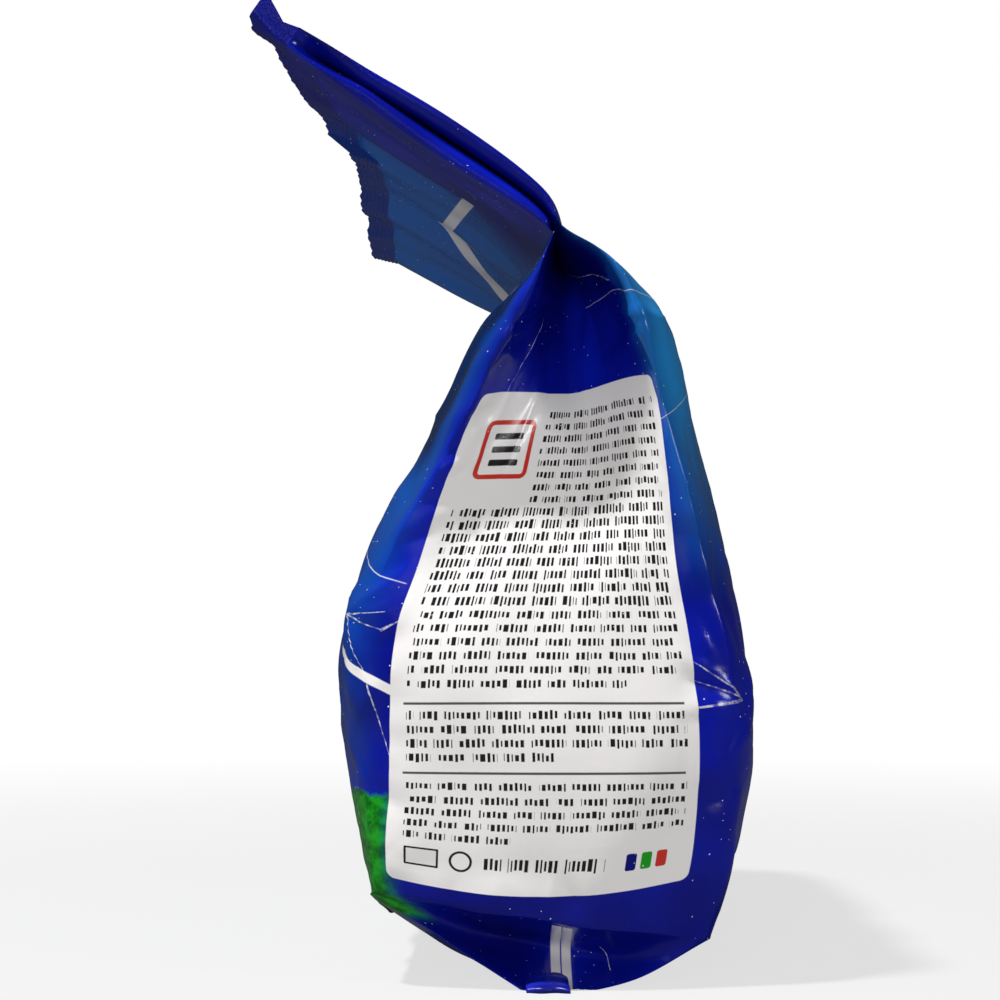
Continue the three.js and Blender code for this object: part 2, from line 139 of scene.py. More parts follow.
# Small crumple: a region has its start and end round the film, its number of creases and its seed
CRUMPLE_REGIONS = (
    (-FAR_RIDGE, -30.0, 44, 5),
    (30.0, FAR_RIDGE, 44, 6),
    (FAR_RIDGE, FILM_SEAM, 8, 7),
    (-FILM_SEAM, -FAR_RIDGE, 8, 8),
)
CRUMPLE_LEVELS = (-52.0, 62.0)
CREASE_LENGTHS = (8, 32)
CREASE_LIFTS = (0.25, 0.75)
CREASE_WIDTHS = (0.9, 2.4)
CREASE_FADE = 0.6
PANEL_FACET_SHARE = 0.5
PANEL_FACET_SPACING = 26
MARGIN_REGION = (-46.0, 46.0, -54.0, 66.0)
MARGIN_FACET_SHARE = 0.9
MARGIN_FACET_SPACING = 13
MARGIN_CREASE_SHARE = 0.6
MARGIN_CREASES = 60
MARGIN_END = (40.0, 60.0)
SIDE_WAVE_SHARE = 0.35
SIDE_WAVE_LENGTH = 24
STRIP_PLACE = 4 - HALF_GUSSET
STRIP_SPREAD = 4.5
STRIP_START = (12.0, 26.0)
STRIP_WAVE_SHARE = 0.3
STRIP_STRETCH = 0.3
STRIP_WAVE_LENGTH = 4.5
FLAP_WAVE_SHARE = 0.25
FLAP_WAVE_LENGTH = 19
FLAP_WAVE_STRETCH = 0.35
PRESSED_SHARE = 0.3
PRESSED_SPACING = 5
WAVE_SCATTER = (0.7, 1.5)
FIELD_REACH = 1.5
SEAM_FADE = (FILM_SEAM - 12, FILM_SEAM - 1)
FOOT_FADE = (-60.0, -40.0)
SMALL_FADE = (56.0, 68.0)
FOLDED_FADE = (66.0, 72.0)
FLOOR_FADE = (1.5, 9.0)
SEAL_RISE = (0.0, 0.08)
RIB_INSETS = (3, 12)

# How the print lies on the film
RIDGE_SLIP = 5.2
FOOT_SLIP = 2.8
SLIP_SPREAD = 13.0
RIDGE_SLIP_RISE = (5.0, 38.0)
FOOT_SLIP_RISE = (5.0, 45.0)
FOOT_SAG = 4.2
SAG_SPREAD = 30.0
SAG_RISE = (22.0, 48.0)

# The end of the bottom seal that shows under the lip
TAB_WIDTH = 7.2
TAB_REACH = 72.8
TAB_PLACE = -0.2
TAB_THICKNESS = 1.8
TAB_RIPPLE = 0.14
TAB_PITCH = 1.1
TAB_END = 6.0
TAB_THINNING = 0.5
TAB_CROWN = 0.35
TAB_WANDER = 0.4
TAB_BENDS = 9.0
TAB_SLANT = 0.3
TAB_SLANTS = 5.0
TAB_COLUMNS = 25
TAB_ROWS = 301

# The print, on the film: millimetres from the middle of the near side and from its middle height
LABEL_CENTRE = -0.3
LABEL_HALF = 24.8
LABEL_TOP = 42.5
LABEL_BOTTOM = -46.0
LABEL_CORNER = 1.3
EDGE_BLUR = 0.08

# Rows of bars on the label: top, number of rows, left and right end, pitch and height of a bar
ROW_SOCKETS = ("Top", "Rows", "Left", "Right", "Pitch", "Height")
LABEL_ROWS = (
    (39.3, 8, -8.0, 22.6, 2.33, 1.25),
    (20.7, 8, -22.4, 22.6, 2.33, 1.6),
    (2.0, 5, -22.4, 22.6, 2.33, 1.3),
    (-9.7, 1, -22.4, 13.0, 2.33, 1.3),
    (-14.9, 3, -22.4, 22.6, 2.33, 1.35),
    (-21.9, 1, -22.4, 1.0, 2.33, 1.35),
    (-26.8, 1, -22.4, 22.6, 2.33, 1.2),
    (-29.3, 3, -22.4, 22.6, 2.2, 1.2),
    (-35.9, 1, -22.4, -6.0, 2.2, 1.2),
    (-39.4, 1, -10.0, 10.0, 3.2, 2.2),
)
ROW_SEED = 3.7
ROW_JUMP = 7.31
WORD_LENGTH = 5.5
WORD_GAP = 0.4
BLOCK_LENGTH = 0.8
BLOCK_GAP = 0.13
GAP_BLUR = 1.6
BLOCK_HALF = (0.36, 0.22)
BLOCK_SHIFT = (-0.12, 0.24)

# Rules and marks on the label: centre, half width and height, corner and, for a frame, its line
LABEL_RULES = (-14.1, -25.7)
RULE_INSET = 2.2
RULE_SHAPE = (0.2, 0.05)
DARK_FRAMES = (
    (-19.6, -41.0, 2.6, 1.7, 0.2, 0.35),
    (-13.6, -41.0, 1.8, 1.8, 1.8, 0.4),
)
RED_FRAME = (-15.2, 31.5, 5.2, 5.6, 1.4, 0.9)
FRAME_BARS = (29.0, 31.5, 34.0)
FRAME_BAR_SHAPE = (2.8, 0.6, 0.3)
PATCH_START = (14.2, -41.0)
PATCH_PITCH = 2.6
PATCH_SHAPE = (0.9, 1.5, 0.4)
LEAST_CORNER = 0.05

# Fields of colour: spans over which they come or go, round the film or up it
CLOUD_SCALE = 0.03
CLOUD_SPAN = (0.3, 0.7)
GUSSET_FADE = (FILM_SEAM - 16, FILM_SEAM - 30)
PINCH_FADE = (78, 70)
FRONT_SIDE = (25, 36)
FRONT_RISE = (-40, 30, 0.3, 1.0)
SKY_SIDE = (62, 95)
BACK_SIDE = (20, 34)
BACK_RISE = (0, 45)
FOOT_TOP = -30.0
FOOT_END = -57.0
FOOT_SIDE = (22, 27)
FOOT_BLUR = 0.8
FOOT_END_BLUR = 2.0
LEAF_SCALE = 0.35
LEAF_EDGE = 5.0
LEAF_SPAN = (0.35, 0.65)
SEAL_DARKENING = 0.75

# White stripes: slope, height at the near side's middle, half width, and start and end round the film
STRIPES = (
    (0.5, -24.4, 0.85, -172.0, -24.5),
    (0.273, -0.7, 0.06, -60.0, -26.0),
    (0.074, 59.6, 0.04, 6.0, 60.0),
    (-0.3, 27.5, 0.04, 23.0, 60.0),
)
STRIPE_BLUR = 0.12
STRIPE_END_BLUR = 0.3
BENT_STRIPE_PLACE = (-115.0, 97.5)
BENT_STRIPE_SLOPES = (0.67, -0.12)
BENT_STRIPE_HALVES = (2.9, 1.3)
BENT_STRIPE_ENDS = (-146, -70)
BENT_STRIPE_BLUR = 0.08
BENT_STRIPE_END_BLUR = 0.5
FOLD_LEVEL = -53.0
LIP_STRIPES = ((0.3, 1.9), (2.15, 3.7))
LIP_STRIPE_BLUR = 0.1

# Dust, painted glints along the creases, gloss and fine wrinkles
DUST_SCALE = 0.55
DUST_SIZES = (0.03, 0.05)
DUST_PATCHES = 0.07
DUST_PATCH_SPAN = (0.4, 0.7)
FILM_DUST = 0.3
FILM_DUST_SHARE = 0.8
SEAL_DUST = 0.2
# How the painted glints on the creases are broken up
GLINT_BREAK_SCALE = 0.9
GLINT_BREAK_SPAN = (0.35, 0.65, 0.1, 0.75)
GLOSS_SCALE = 0.08
GLOSS_SPAN = (0.25, 0.75, 0.15, 0.26)
FILM_IOR = 1.48
LENGTHWISE_STRETCH = (0.9, 0.18)
CROSSWISE_STRETCH = (0.12, 0.6)
LENGTHWISE_SCALE = 0.6
CROSSWISE_SCALE = 0.5
WRINKLE_ROUGHNESS = 0.55
WRINKLE_DEPTH = 0.0006
WRINKLE_SPAN = (70, 76, 0.15, 0.02)
SEAL_CLOUD_SCALE = 0.1
SEAL_GLOSS_SPAN = (0.25, 0.75, 0.34, 0.5)
SEAL_WRINKLES = 0.3

# Colours of the print; the warm white also paints the glints along the creases
DEEP_BLUE = (0.0012, 0.003, 0.17, 1)
MID_BLUE = (0.002, 0.010, 0.40, 1)
FRONT_BLUE = (0.003, 0.055, 0.27, 1)
SKY_BLUE = (0.003, 0.12, 0.46, 1)
BACK_BLUE = (0.012, 0.24, 0.60, 1)
FRESH_GREEN = (0.010, 0.30, 0.012, 1)
DARK_GREEN = (0.004, 0.10, 0.006, 1)
WARM_WHITE = (0.82, 0.80, 0.78, 1)
LABEL_WHITE = (0.80, 0.78, 0.77, 1)
INK_BLACK = (0.012, 0.012, 0.014, 1)
SIGNAL_RED = (0.55, 0.03, 0.02, 1)

# Studio, in metres
CAMERA_PLACE = (-0.00833, -0.450, 0.062)
CAMERA_TILT = math.radians(2.88)
CAMERA_LENS = 82.08
FLOOR_RINGS = (0.02, 0.15, 0.4, 0.8, 1.4, 2.4, 4.0)
FLOOR_SIDES = 64
FLOOR_WHITE = 0.7
FLOOR_FADING = (0.1, 0.6)
FLOOR_GLOSS = 0.02
FLOOR_SEEN = 0.4
FLOOR_MIRRORED = 0.05
FLOOR_BOUNCE = 0.3
WORLD_GLOSS = 0.04
WORLD_LEVEL = 0.1

# Lamps: name, place, height they aim at, size, power, and whether the film mirrors them
LAMPS = (
    ("key", (-0.40, -0.22, 1.10), 0.08, 0.1, 20.0, True),
    ("fill", (-0.25, -1.3, 0.45), 0.07, 0.6, 6.2, False),
    ("side", (0.9, -0.6, 0.45), 0.08, 0.25, 2.5, True),
)

# How finely the film is divided
NEAR_STEPS = 52
FAR_STEPS = 26
PANEL_STEPS = 92
BASE_ROWS = 36
BODY_ROWS = 130
FLAP_ROWS = 66
CRIMP_ROWS = 6 * CRIMP_RIBS

# Creases of the near side: start and end on the film, lift, width and half the width of their painted glint
# line
LEFT_KNEE = (-36.5, 0.7)
LEFT_BEND = (-27.5, -1.8)
LOWER_BEND = (-29.7, -8.9)
RIGHT_KNEE = (34.5, -13.7)
UPPER_KNEE = (40.0, 52.4)
SIDE_CREASES = (
    (LEFT_KNEE, (-27.0, 8.5), 1.3, 1.6, 0.0),
    (LEFT_KNEE, (-27.7, 1.3), 1.0, 1.1, 0.2),
    (LEFT_KNEE, LEFT_BEND, -0.7, 1.0, 0.2),
    (LEFT_BEND, (-25.0, -0.3), 0.6, 0.8, 0.35),
    (LEFT_KNEE, LOWER_BEND, 0.8, 1.0, 0.16),
    (LOWER_BEND, (-26.0, -23.3), 0.6, 0.8, 0.2),
    (RIGHT_KNEE, (22.0, -5.5), 0.9, 1.0, 0.28),
    (RIGHT_KNEE, (23.0, -9.8), -0.8, 1.0, 0.25),
    (RIGHT_KNEE, (21.0, -15.3), 0.8, 1.0, 0.4),
    ((27.0, 60.1), (2.6, 68.8), 1.1, 1.0, 0.2),
    ((28.0, 61.6), (17.8, 64.8), 0.8, 0.8, 0.0),
    (UPPER_KNEE, (8.0, 56.4), 1.2, 1.9, 0.0),
    (UPPER_KNEE, (11.6, 45.8), 1.0, 1.7, 0.0),
    ((-20.0, 57.0), (-25.0, 26.0), 0.5, 0.7, 0.05),
    ((-14.0, 42.0), (-18.0, 21.0), 0.35, 0.8, 0.0),
    ((14.5, -60.9), (24.0, -66.0), 0.6, 0.8, 0.14),
)
# Dents of the near side: centre, radius and depth
SIDE_DENTS = (
    ((-33.0, 7.0), 10.0, 1.5),
    ((20.0, 51.5), 7.0, 0.9),
    ((17.0, 62.0), 6.0, 0.8),
    ((-34.0, -18.0), 9.0, 0.8),
    ((33.0, 12.0), 12.0, 0.9),
)

# The lines along the film that its rings are stretched between
RAILS = ("front_near", "back_near", "gusset_near", "front_far", "back_far", "gusset_far",
         "front_middle", "back_middle", "crest", "setback")


def point(x, y, z):
    """A place as an array."""
    return np.array([x, y, z], float)


def middle(a, b):
    """The mean of two places."""
    return (a + b) / 2


def mix(low, high, share):
    """The straight blend from low (0) to high (1)."""
    return low + (high - low) * share


def smoothstep(value, low, high):
    """Zero up to low, one from high, and three squares less two cubes of the share in between."""
    share = np.clip((value - low) / (high - low), 0.0, 1.0)
    return share * share * (3 - 2 * share)


def folded_inset(ridge, other):
    """How deep a gusset folds in: the height of a triangle on the ridges' span, its sides half the film."""
    half_span = np.linalg.norm(ridge - other) / 2
    return math.sqrt(max(0.0, HALF_GUSSET ** 2 - half_span ** 2))


def body_station(front, back, bows, swell, tuck, drawn):
    """The rails at one height of the body: ridges as shares of the depth and of the rise to the pinch."""
    def ridge(place, corner_height, side):
        height = mix(corner_height, PINCH_HEIGHT, place[1])
        scale = 1.0 if side < 0 else FAR_SCALE
        return point(place[0] * HALF_DEPTH, side * (HALF_WIDTH - drawn * RIDGE_DRAW), height * scale)
    rails = {
        "front_near": ridge(front, FRONT_CORNER_HEIGHT, -1),
        "back_near": ridge(back, BACK_CORNER_HEIGHT, -1),
        "front_far": ridge(front, FRONT_CORNER_HEIGHT, 1),
        "back_far": ridge(back, BACK_CORNER_HEIGHT, 1),
    }
    inset = tuck * folded_inset(rails["front_near"], rails["back_near"]) - swell * GUSSET_SWELL
    valley = 0.5 + VALLEY_SHIFT * tuck
    rails["gusset_near"] = mix(rails["front_near"], rails["back_near"], valley) + point(0, inset, 0)
    rails["gusset_far"] = mix(rails["front_far"], rails["back_far"], valley) - point(0, inset, 0)
    bow_front = point(bows[0] * PANEL_SWELL, 0, 0)
    bow_back = point(bows[1] * PANEL_SWELL, 0, 0)
    rails["front_middle"] = middle(rails["front_near"], rails["front_far"]) - bow_front
    rails["back_middle"] = middle(rails["back_near"], rails["back_far"]) + bow_back
    return rails | no_flap_shift()


def no_flap_shift():
    """The rails of the flap's crease and step where there is no flap."""
    return {"crest": np.zeros(3), "setback": np.zeros(3)}


def seal_station():
    """The bottom seal: a narrow slit along Y on the floor."""
    def at(side, end):
        return point(side * BOTTOM_TAB / 2, end * HALF_WIDTH, 0)
    return {
        "front_near": at(-1, -1),
        "back_near": at(1, -1),
        "front_far": at(-1, 1),
        "back_far": at(1, 1),
        "gusset_near": at(0, -1),
        "gusset_far": at(0, 1),
        "front_middle": at(-1, 0),
        "back_middle": at(1, 0),
    } | no_flap_shift()


def recess_station(seal, corner):
    """The deepest line of the folds over the bottom seal's ends, halfway from the seal to the corners."""
    rails = {name: middle(seal[name], corner[name]) for name in RAILS}
    rails["gusset_near"][1] = LIP_TUCK - HALF_WIDTH
    rails["gusset_far"][1] = HALF_WIDTH - LIP_TUCK
    rails["back_near"][2] -= LIP_DROP
    rails["back_far"][2] -= LIP_DROP
    rails["front_middle"][2] = 0
    rails["back_middle"][2] = 0
    return rails


def flap_station(pinch, along, arch, gapes, fade, tuck, crest, setback):
    """The rails at one place along the flap, from the pinch (0) to the cut edge (1)."""
    def edge(start, length, pitch, side, gape):
        direction = point(-math.cos(pitch), 0, math.sin(pitch))
        across = point(math.sin(pitch), 0, math.cos(pitch))
        centre = start + direction * along * length + across * arch * FLAP_ARCH
        centre[1] = side * HALF_WIDTH
        inward = point(0, -side * tuck * HALF_GUSSET, 0)
        return centre - across * gape / 2, centre + across * gape / 2, centre + inward
    rails = {}
    near_start = middle(pinch["front_near"], pinch["back_near"])
    far_start = middle(pinch["front_far"], pinch["back_far"])
    near = edge(near_start, FLAP_LENGTH, FLAP_PITCH, -1, gapes[0])
    far = edge(far_start, FAR_FLAP_LENGTH, FAR_FLAP_PITCH, 1, gapes[1])
    rails["front_near"], rails["back_near"], rails["gusset_near"] = near
    rails["front_far"], rails["back_far"], rails["gusset_far"] = far
    front_bow = pinch["front_middle"] - middle(pinch["front_near"], pinch["front_far"])
    back_bow = pinch["back_middle"] - middle(pinch["back_near"], pinch["back_far"])
    rails["front_middle"] = middle(near[0], far[0]) + front_bow * fade
    rails["back_middle"] = middle(near[1], far[1]) + back_bow * fade
    rails["crest"] = FLAP_UP * crest * FLAP_CREST
    rails["setback"] = FLAP_FORWARD * -setback
    return rails


def catmull_rom(points, count, keep_first):
    """A uniform Catmull-Rom spline through the rows of points, sampled at count steps."""
    place = np.linspace(0, len(points) - 1, count + 1)[0 if keep_first else 1:]
    padded = np.vstack([2 * points[0] - points[1], points, 2 * points[-1] - points[-2]])
    start = np.minimum(place.astype(int), len(points) - 2)
    share = (place - start)[:, None]
    before, here, after, beyond = (padded[start + step] for step in range(4))
    return here + 0.5 * share * (
        after - before
        + share * (2 * before - 5 * here + 4 * after - beyond
                   + share * (3 * (here - after) + beyond - before)))


def stretch_rails(stations, rows, keep_first=False):
    """Each rail as a spline through its points at the stations."""
    rails = {}
    for name in RAILS:
        points = np.array([station[name] for station in stations])
        rails[name] = catmull_rom(points, rows, keep_first)
    return rails


def bag_rails():
    """Every rail from the bottom seal to the cut edge, and each row's roundness and place on the flap."""
    seal = seal_station()
    # Each height has its front and back ridges, the two panels' bows, and its swell, tuck and draw
    corner = body_station((-0.89, 0), (0.79, 0), (-0.9, -0.2), 0.8, 0, 0.9)
    corner["front_middle"][2] = BASE_TURN
    corner["back_middle"][2] = BASE_TURN
    base = [seal, recess_station(seal, corner), corner]
    body = [
        corner,
        body_station((-0.925, 0.145), (0.91, 0.136), (0.6, 0.5), 1.1, 0, 1),
        body_station((-0.94, 0.405), (0.92, 0.35), (0.85, 1.0), 0.8, 0, 1),
        body_station((-0.49, 0.666), (0.63, 0.667), (1.4, 1.55), 0, 0.3, 0.7),
        body_station((-0.13, 0.88), (0.36, 0.925), (1.1, 0.9), 0, 0.75, 0.3),
        body_station((0.023, 0.99), (0.058, 1), (0.4, 0.4), 0, 1, 0),
    ]
    pinch = body[-1]
    seal_root = 1 - SEAL_WIDTH / FLAP_LENGTH
    flap = [
        pinch,
        flap_station(pinch, 0.11, 0.85, (0.75 * FLAP_GAPE, 0.5 * FLAP_GAPE), 0.8, 1, 0.2, 0),
        flap_station(pinch, 0.42, 1, (FLAP_GAPE, 0.6 * FLAP_GAPE), 0.3, 0.9, 0.8, 0.1),
        flap_station(pinch, seal_root, 0.65, (0.5 * FLAP_GAPE, SEAL_THICKNESS), 0, 0, 0.7, 0.85),
    ]
    crimp = [flap[-1], flap_station(pinch, 1, 0, (SEAL_THICKNESS, SEAL_THICKNESS), 0, 0, 0.6, 1)]
    stretches = [
        stretch_rails(base, BASE_ROWS, keep_first=True),
        stretch_rails(body, BODY_ROWS),
        stretch_rails(flap, FLAP_ROWS),
        stretch_rails(crimp, CRIMP_ROWS),
    ]
    rails = {name: np.concatenate([part[name] for part in stretches]) for name in RAILS}
    steps = [np.arange(1 if index else 0, rows + 1) / rows
             for index, rows in enumerate((BASE_ROWS, BODY_ROWS, FLAP_ROWS, CRIMP_ROWS))]
    none = np.zeros(FLAP_ROWS + CRIMP_ROWS)
    rolled = FLAP_ROUNDNESS * (1 - smoothstep(np.arange(len(none)) / FLAP_ROWS, *ROLL_END))
    upright = mix(1, UPRIGHT_ROUNDNESS, smoothstep(steps[1], *UPRIGHT_SPAN))
    rails["roundness"] = np.concatenate([steps[0] ** 2, upright, rolled])
    rails["flap"] = np.concatenate([0 * steps[0], 0 * steps[1], steps[2] * seal_root,
                                    mix(seal_root, 1, steps[3])])
    rails["crimp"] = np.concatenate([0 * steps[0], 0 * steps[1], 0 * steps[2], steps[3]])
    rails["flatness"] = np.where(np.arange(len(none) + BODY_ROWS + BASE_ROWS + 1) <= BASE_ROWS,
                                 BASE_FLATNESS, PANEL_FLATNESS)
    return rails


def gusset_half(ridge, other, gusset, across, closing):
    """From a ridge (0) to the middle of its gusset (1).

    Where the gusset swells it bows out as a parabola, where it is tucked in it curves in as a quarter sine
    wave, and on the flap its two halves first close on each other and then run in together.
    """
    between = middle(ridge, other)[:, None]
    swelling = np.abs(gusset[:, 1]) - np.abs(ridge[:, 1])
    bowed = smoothstep(swelling, 0, GUSSET_SWELL / 2)[:, None]
    tucked = mix(np.sin(across[None] * math.pi / 2), across[None] ** FLAP_INROLL, closing[:, None])
    profile = mix(tucked, 1 - (1 - across[None]) ** 2, bowed)
    closed = 1 - (1 - across[None]) ** mix(1.0, FLAP_CLOSING, closing[:, None])
    base = mix(ridge[:, None], between, closed[..., None])
    return base + (gusset[:, None] - between) * profile[..., None]


def panel(near, centre, far, across, flatness):
    """From a near ridge (0) to a far one (1), bowed by a power of the distance from the middle."""
    bow = (centre - middle(near, far))[:, None]
    profile = 1 - np.abs(2 * across[None] - 1) ** flatness[:, None]
    return mix(near[:, None], far[:, None], across[None, :, None]) + bow * profile[..., None]


def graded(share):
    """Sets the columns of a panel closer together towards the near end."""
    return mix(share, share * share, PANEL_GRADING)


def film_rings(rails):
    """All rings of film, from the middle of the far gusset by front panel, near gusset and back panel."""
    near = np.arange(NEAR_STEPS) / NEAR_STEPS
    far = np.arange(FAR_STEPS) / FAR_STEPS
    wide = graded(np.arange(PANEL_STEPS) / PANEL_STEPS)
    wide_back = graded(1 - np.arange(PANEL_STEPS) / PANEL_STEPS)
    flat = rails["flatness"]
    closing = smoothstep(rails["flap"], *CLOSING_RISE) * (1 - smoothstep(rails["flap"], *CLOSING_FALL))
    return np.concatenate([
        gusset_half(rails["front_far"], rails["back_far"], rails["gusset_far"], 1 - far, closing),
        panel(rails["front_near"], rails["front_middle"], rails["front_far"], wide_back, flat),
        gusset_half(rails["front_near"], rails["back_near"], rails["gusset_near"], near, closing),
        gusset_half(rails["back_near"], rails["front_near"], rails["gusset_near"], 1 - near, closing),
        panel(rails["back_near"], rails["back_middle"], rails["back_far"], wide, flat),
        gusset_half(rails["back_far"], rails["front_far"], rails["gusset_far"], far, closing),
    ], axis=1)


def around_film():
    """The place of each column on the film, in millimetres from the middle of the near gusset."""
    near = np.arange(NEAR_STEPS) / NEAR_STEPS * HALF_GUSSET
    far = np.arange(FAR_STEPS) / FAR_STEPS * HALF_GUSSET
    wide = graded(np.arange(PANEL_STEPS) / PANEL_STEPS) * BAG_WIDTH
    wide_back = graded(1 - np.arange(PANEL_STEPS) / PANEL_STEPS) * BAG_WIDTH
    start = -(GUSSET_DEPTH + BAG_WIDTH)
    return np.concatenate([
        start + far,
        -HALF_GUSSET - wide_back,
        near - HALF_GUSSET,
        near,
        HALF_GUSSET + wide,
        HALF_GUSSET + BAG_WIDTH + far,
    ])


def flap_shift(rails, rings, around):
    """What the flap's long crease, its stepped and toothed seal and its turned-up corner add.

    The crease is a tent across the width whose top wanders from the near edge at the pinch to its full place
    at the seal. The cut edge slants back to the crease, steps back there and comes forward again beyond it.
    The corner beyond a slanting fold line turns up in proportion to the distance from that line, its back
    layer more than its front one.
    """
    along = rails["flap"][:, None]
    reach = np.clip((rings[..., 1] + HALF_WIDTH) / BAG_WIDTH, 0, 1)
    place = mix(CREASE_START, CREASE_PLACE, smoothstep(along, *CREASE_SPAN))
    beyond = (reach - place) / (1 - place)
    tent = np.where(beyond < 0, reach / place, 1 - beyond)
    step = np.where(beyond < 0, SEAL_SLANT * reach / place, SEAL_STEP * (1 - beyond))
    zigzag = np.abs((reach * BAG_WIDTH / TOOTH_PITCH) % 1 - 0.5) * 2
    tooth = zigzag * TOOTH_DEPTH * rails["crimp"][:, None] ** 2
    inside = 1 - reach * BAG_WIDTH / CORNER_WIDTH - (1 - along) * FLAP_LENGTH / CORNER_LENGTH
    back_layer = mix(*CORNER_LAYERS, smoothstep(around, -HALF_GUSSET, HALF_GUSSET))
    turned = (np.maximum(0, inside) * back_layer)[..., None] * CORNER_LIFT
    return (rails["crest"][:, None] * tent[..., None]
            + rails["setback"][:, None] * step[..., None]
            - FLAP_FORWARD * tooth[..., None]
            + FLAP_UP * turned)


def rounded(rings, around, roundness):
    """Blends each ring with its own moving average along the film, a bell curve of fixed width."""
    gap = np.abs(around[:, None] - around[None])
    gap = np.minimum(gap, FILM_LENGTH - gap)
    spacing = (np.roll(around, -1) - np.roll(around, 1)) % FILM_LENGTH / 2
    weights = np.exp(-0.5 * (gap / RIDGE_ROUND) ** 2) * spacing[None]
    weights /= weights.sum(axis=1, keepdims=True)
    averaged = np.einsum("ij,rjk->rik", weights, rings)
    return mix(rings, averaged, roundness[:, None, None])


def smooth_field(across, along, wavelength, seed, waves=9):
    """A soft random field between about -1 and 1: a sum of cosines with random directions and phases."""
    random = np.random.default_rng(seed)
    field = np.zeros(np.broadcast(across, along).shape)
    for _ in range(waves):
        turn, phase = random.uniform(0, 2 * math.pi, 2)
        number = 2 * math.pi / (wavelength * random.uniform(*WAVE_SCATTER))
        field += np.cos(number * (across * math.cos(turn) + along * math.sin(turn)) + phase)
    return field * math.sqrt(2 / waves) / FIELD_REACH


def facet_field(across, along, spacing, seed):
    """Flat facets that meet in straight valleys: the gap between the two nearest of a scatter of points."""
    random = np.random.default_rng(seed)
    low = np.array([across.min(), along.min()])
    span = np.array([across.max(), along.max()]) - low
    count = int(span[0] * span[1] / spacing ** 2)
    nearest = np.full(across.shape, np.inf)
    second = np.full(across.shape, np.inf)
    for place in low + random.uniform(0, 1, (count, 2)) * span:
        distance = np.hypot(across - place[0], along - place[1])
        second = np.minimum(second, np.maximum(nearest, distance))
        nearest = np.minimum(nearest, distance)
    return np.minimum((second - nearest) / spacing, 1)


def crease_line(across, along, start, end, width):
    """A sharp fold from start to end: one on the line, falling off with distance and fading to the end."""
    run = np.subtract(end, start)
    share = ((across - start[0]) * run[0] + (along - start[1]) * run[1]) / (run @ run)
    held = np.clip(share, 0, 1)
    gap = np.hypot(across - start[0] - held * run[0], along - start[1] - held * run[1])
    return np.exp(-gap / width) * (1 - CREASE_FADE * held)


def random_creases(across, along, region, count, seed):
    """Creases scattered over a region of the film, some raised and some sunk."""
    random = np.random.default_rng(seed)
    height = np.zeros(across.shape)
    for _ in range(count):
        start = random.uniform((region[0], region[2]), (region[1], region[3]))
        turn = random.uniform(0, 2 * math.pi)
        length = random.uniform(*CREASE_LENGTHS)
        end = start + length * np.array([math.cos(turn), math.sin(turn)])
        lift = random.choice((-1, 1)) * random.uniform(*CREASE_LIFTS)
        height += lift * crease_line(across, along, start, end, random.uniform(*CREASE_WIDTHS))
    return height


def fold_wave(turns):
    """A triangle wave between -1 and 1: straight facets between sharp folds."""
    return 4 * np.abs(turns - np.floor(turns) - 0.5) - 1


def soft_fold_wave(turns):
    """The triangle wave with its folds rounded: the angle whose sine is a little less than the cosine."""
    return np.arcsin(FOLD_SHARPNESS * np.cos(2 * math.pi * turns)) / math.asin(FOLD_SHARPNESS)


def broad_facets(across, level):
    """The large facets of the filled film: triangle waves that run round it in different directions."""
    turns = across / FILM_LENGTH
    waves = [share * fold_wave(count * turns + level / climb + start)
             for share, count, climb, start in FACETS]
    return FACET_HEIGHT * sum(waves)


def gathers(across, level):
    """The pleats below the pinch: uneven half waves round the film, growing upwards."""
    turns = across / FILM_LENGTH
    uneven = GATHER_COUNT * turns + GATHER_SWAY * np.sin(2 * math.pi * GATHER_SWAYS * turns)
    return GATHER_HEIGHT * np.abs(np.sin(math.pi * uneven)) * smoothstep(level, *GATHER_RISE)


def broad_relief(across, level):
    """The facets and pleats of the film, away from the near side, the bottom corners and the pinch."""
    off_side = smoothstep(np.abs(across), *OFF_SIDE)
    off_ends = smoothstep(level, *RELIEF_START) * (1 - smoothstep(level, *RELIEF_END))
    return (broad_facets(across, level) + gathers(across, level)) * off_side * off_ends


def flap_folds(across, along):
    """The long folds of the flap: rounded waves across the width that lean as they run along it."""
    waves = [share * soft_fold_wave(across / width + along / length + start)
             for share, width, length, start in FLAP_FOLDS]
    return FLAP_CRUMPLE * sum(waves)


def side_creases(across, heights):
    """The folds and dents of the near side, as a height over the film."""
    raised = np.zeros(heights.shape)
    sunk = np.zeros(heights.shape)
    for start, end, lift, width, _ in SIDE_CREASES:
        line = crease_line(across, heights, start, end, width)
        raised = np.maximum(raised, lift * line)
        sunk = np.minimum(sunk, lift * line)
    folded = raised + sunk
    for centre, radius, depth in SIDE_DENTS:
        gap = np.hypot(across - centre[0], heights - centre[1]) / radius
        folded -= depth * np.maximum(0, 1 - gap) ** 1.5
    return folded


def panel_crumple(across, heights):
    """The facets and scattered creases of the panels and of the far gusset."""
    crumple = PANEL_FACET_SHARE * facet_field(across, heights, PANEL_FACET_SPACING, seed=11)
    for low, high, count, seed in CRUMPLE_REGIONS:
        crumple = crumple + random_creases(across, heights, (low, high, *CRUMPLE_LEVELS), count, seed)
    return crumple


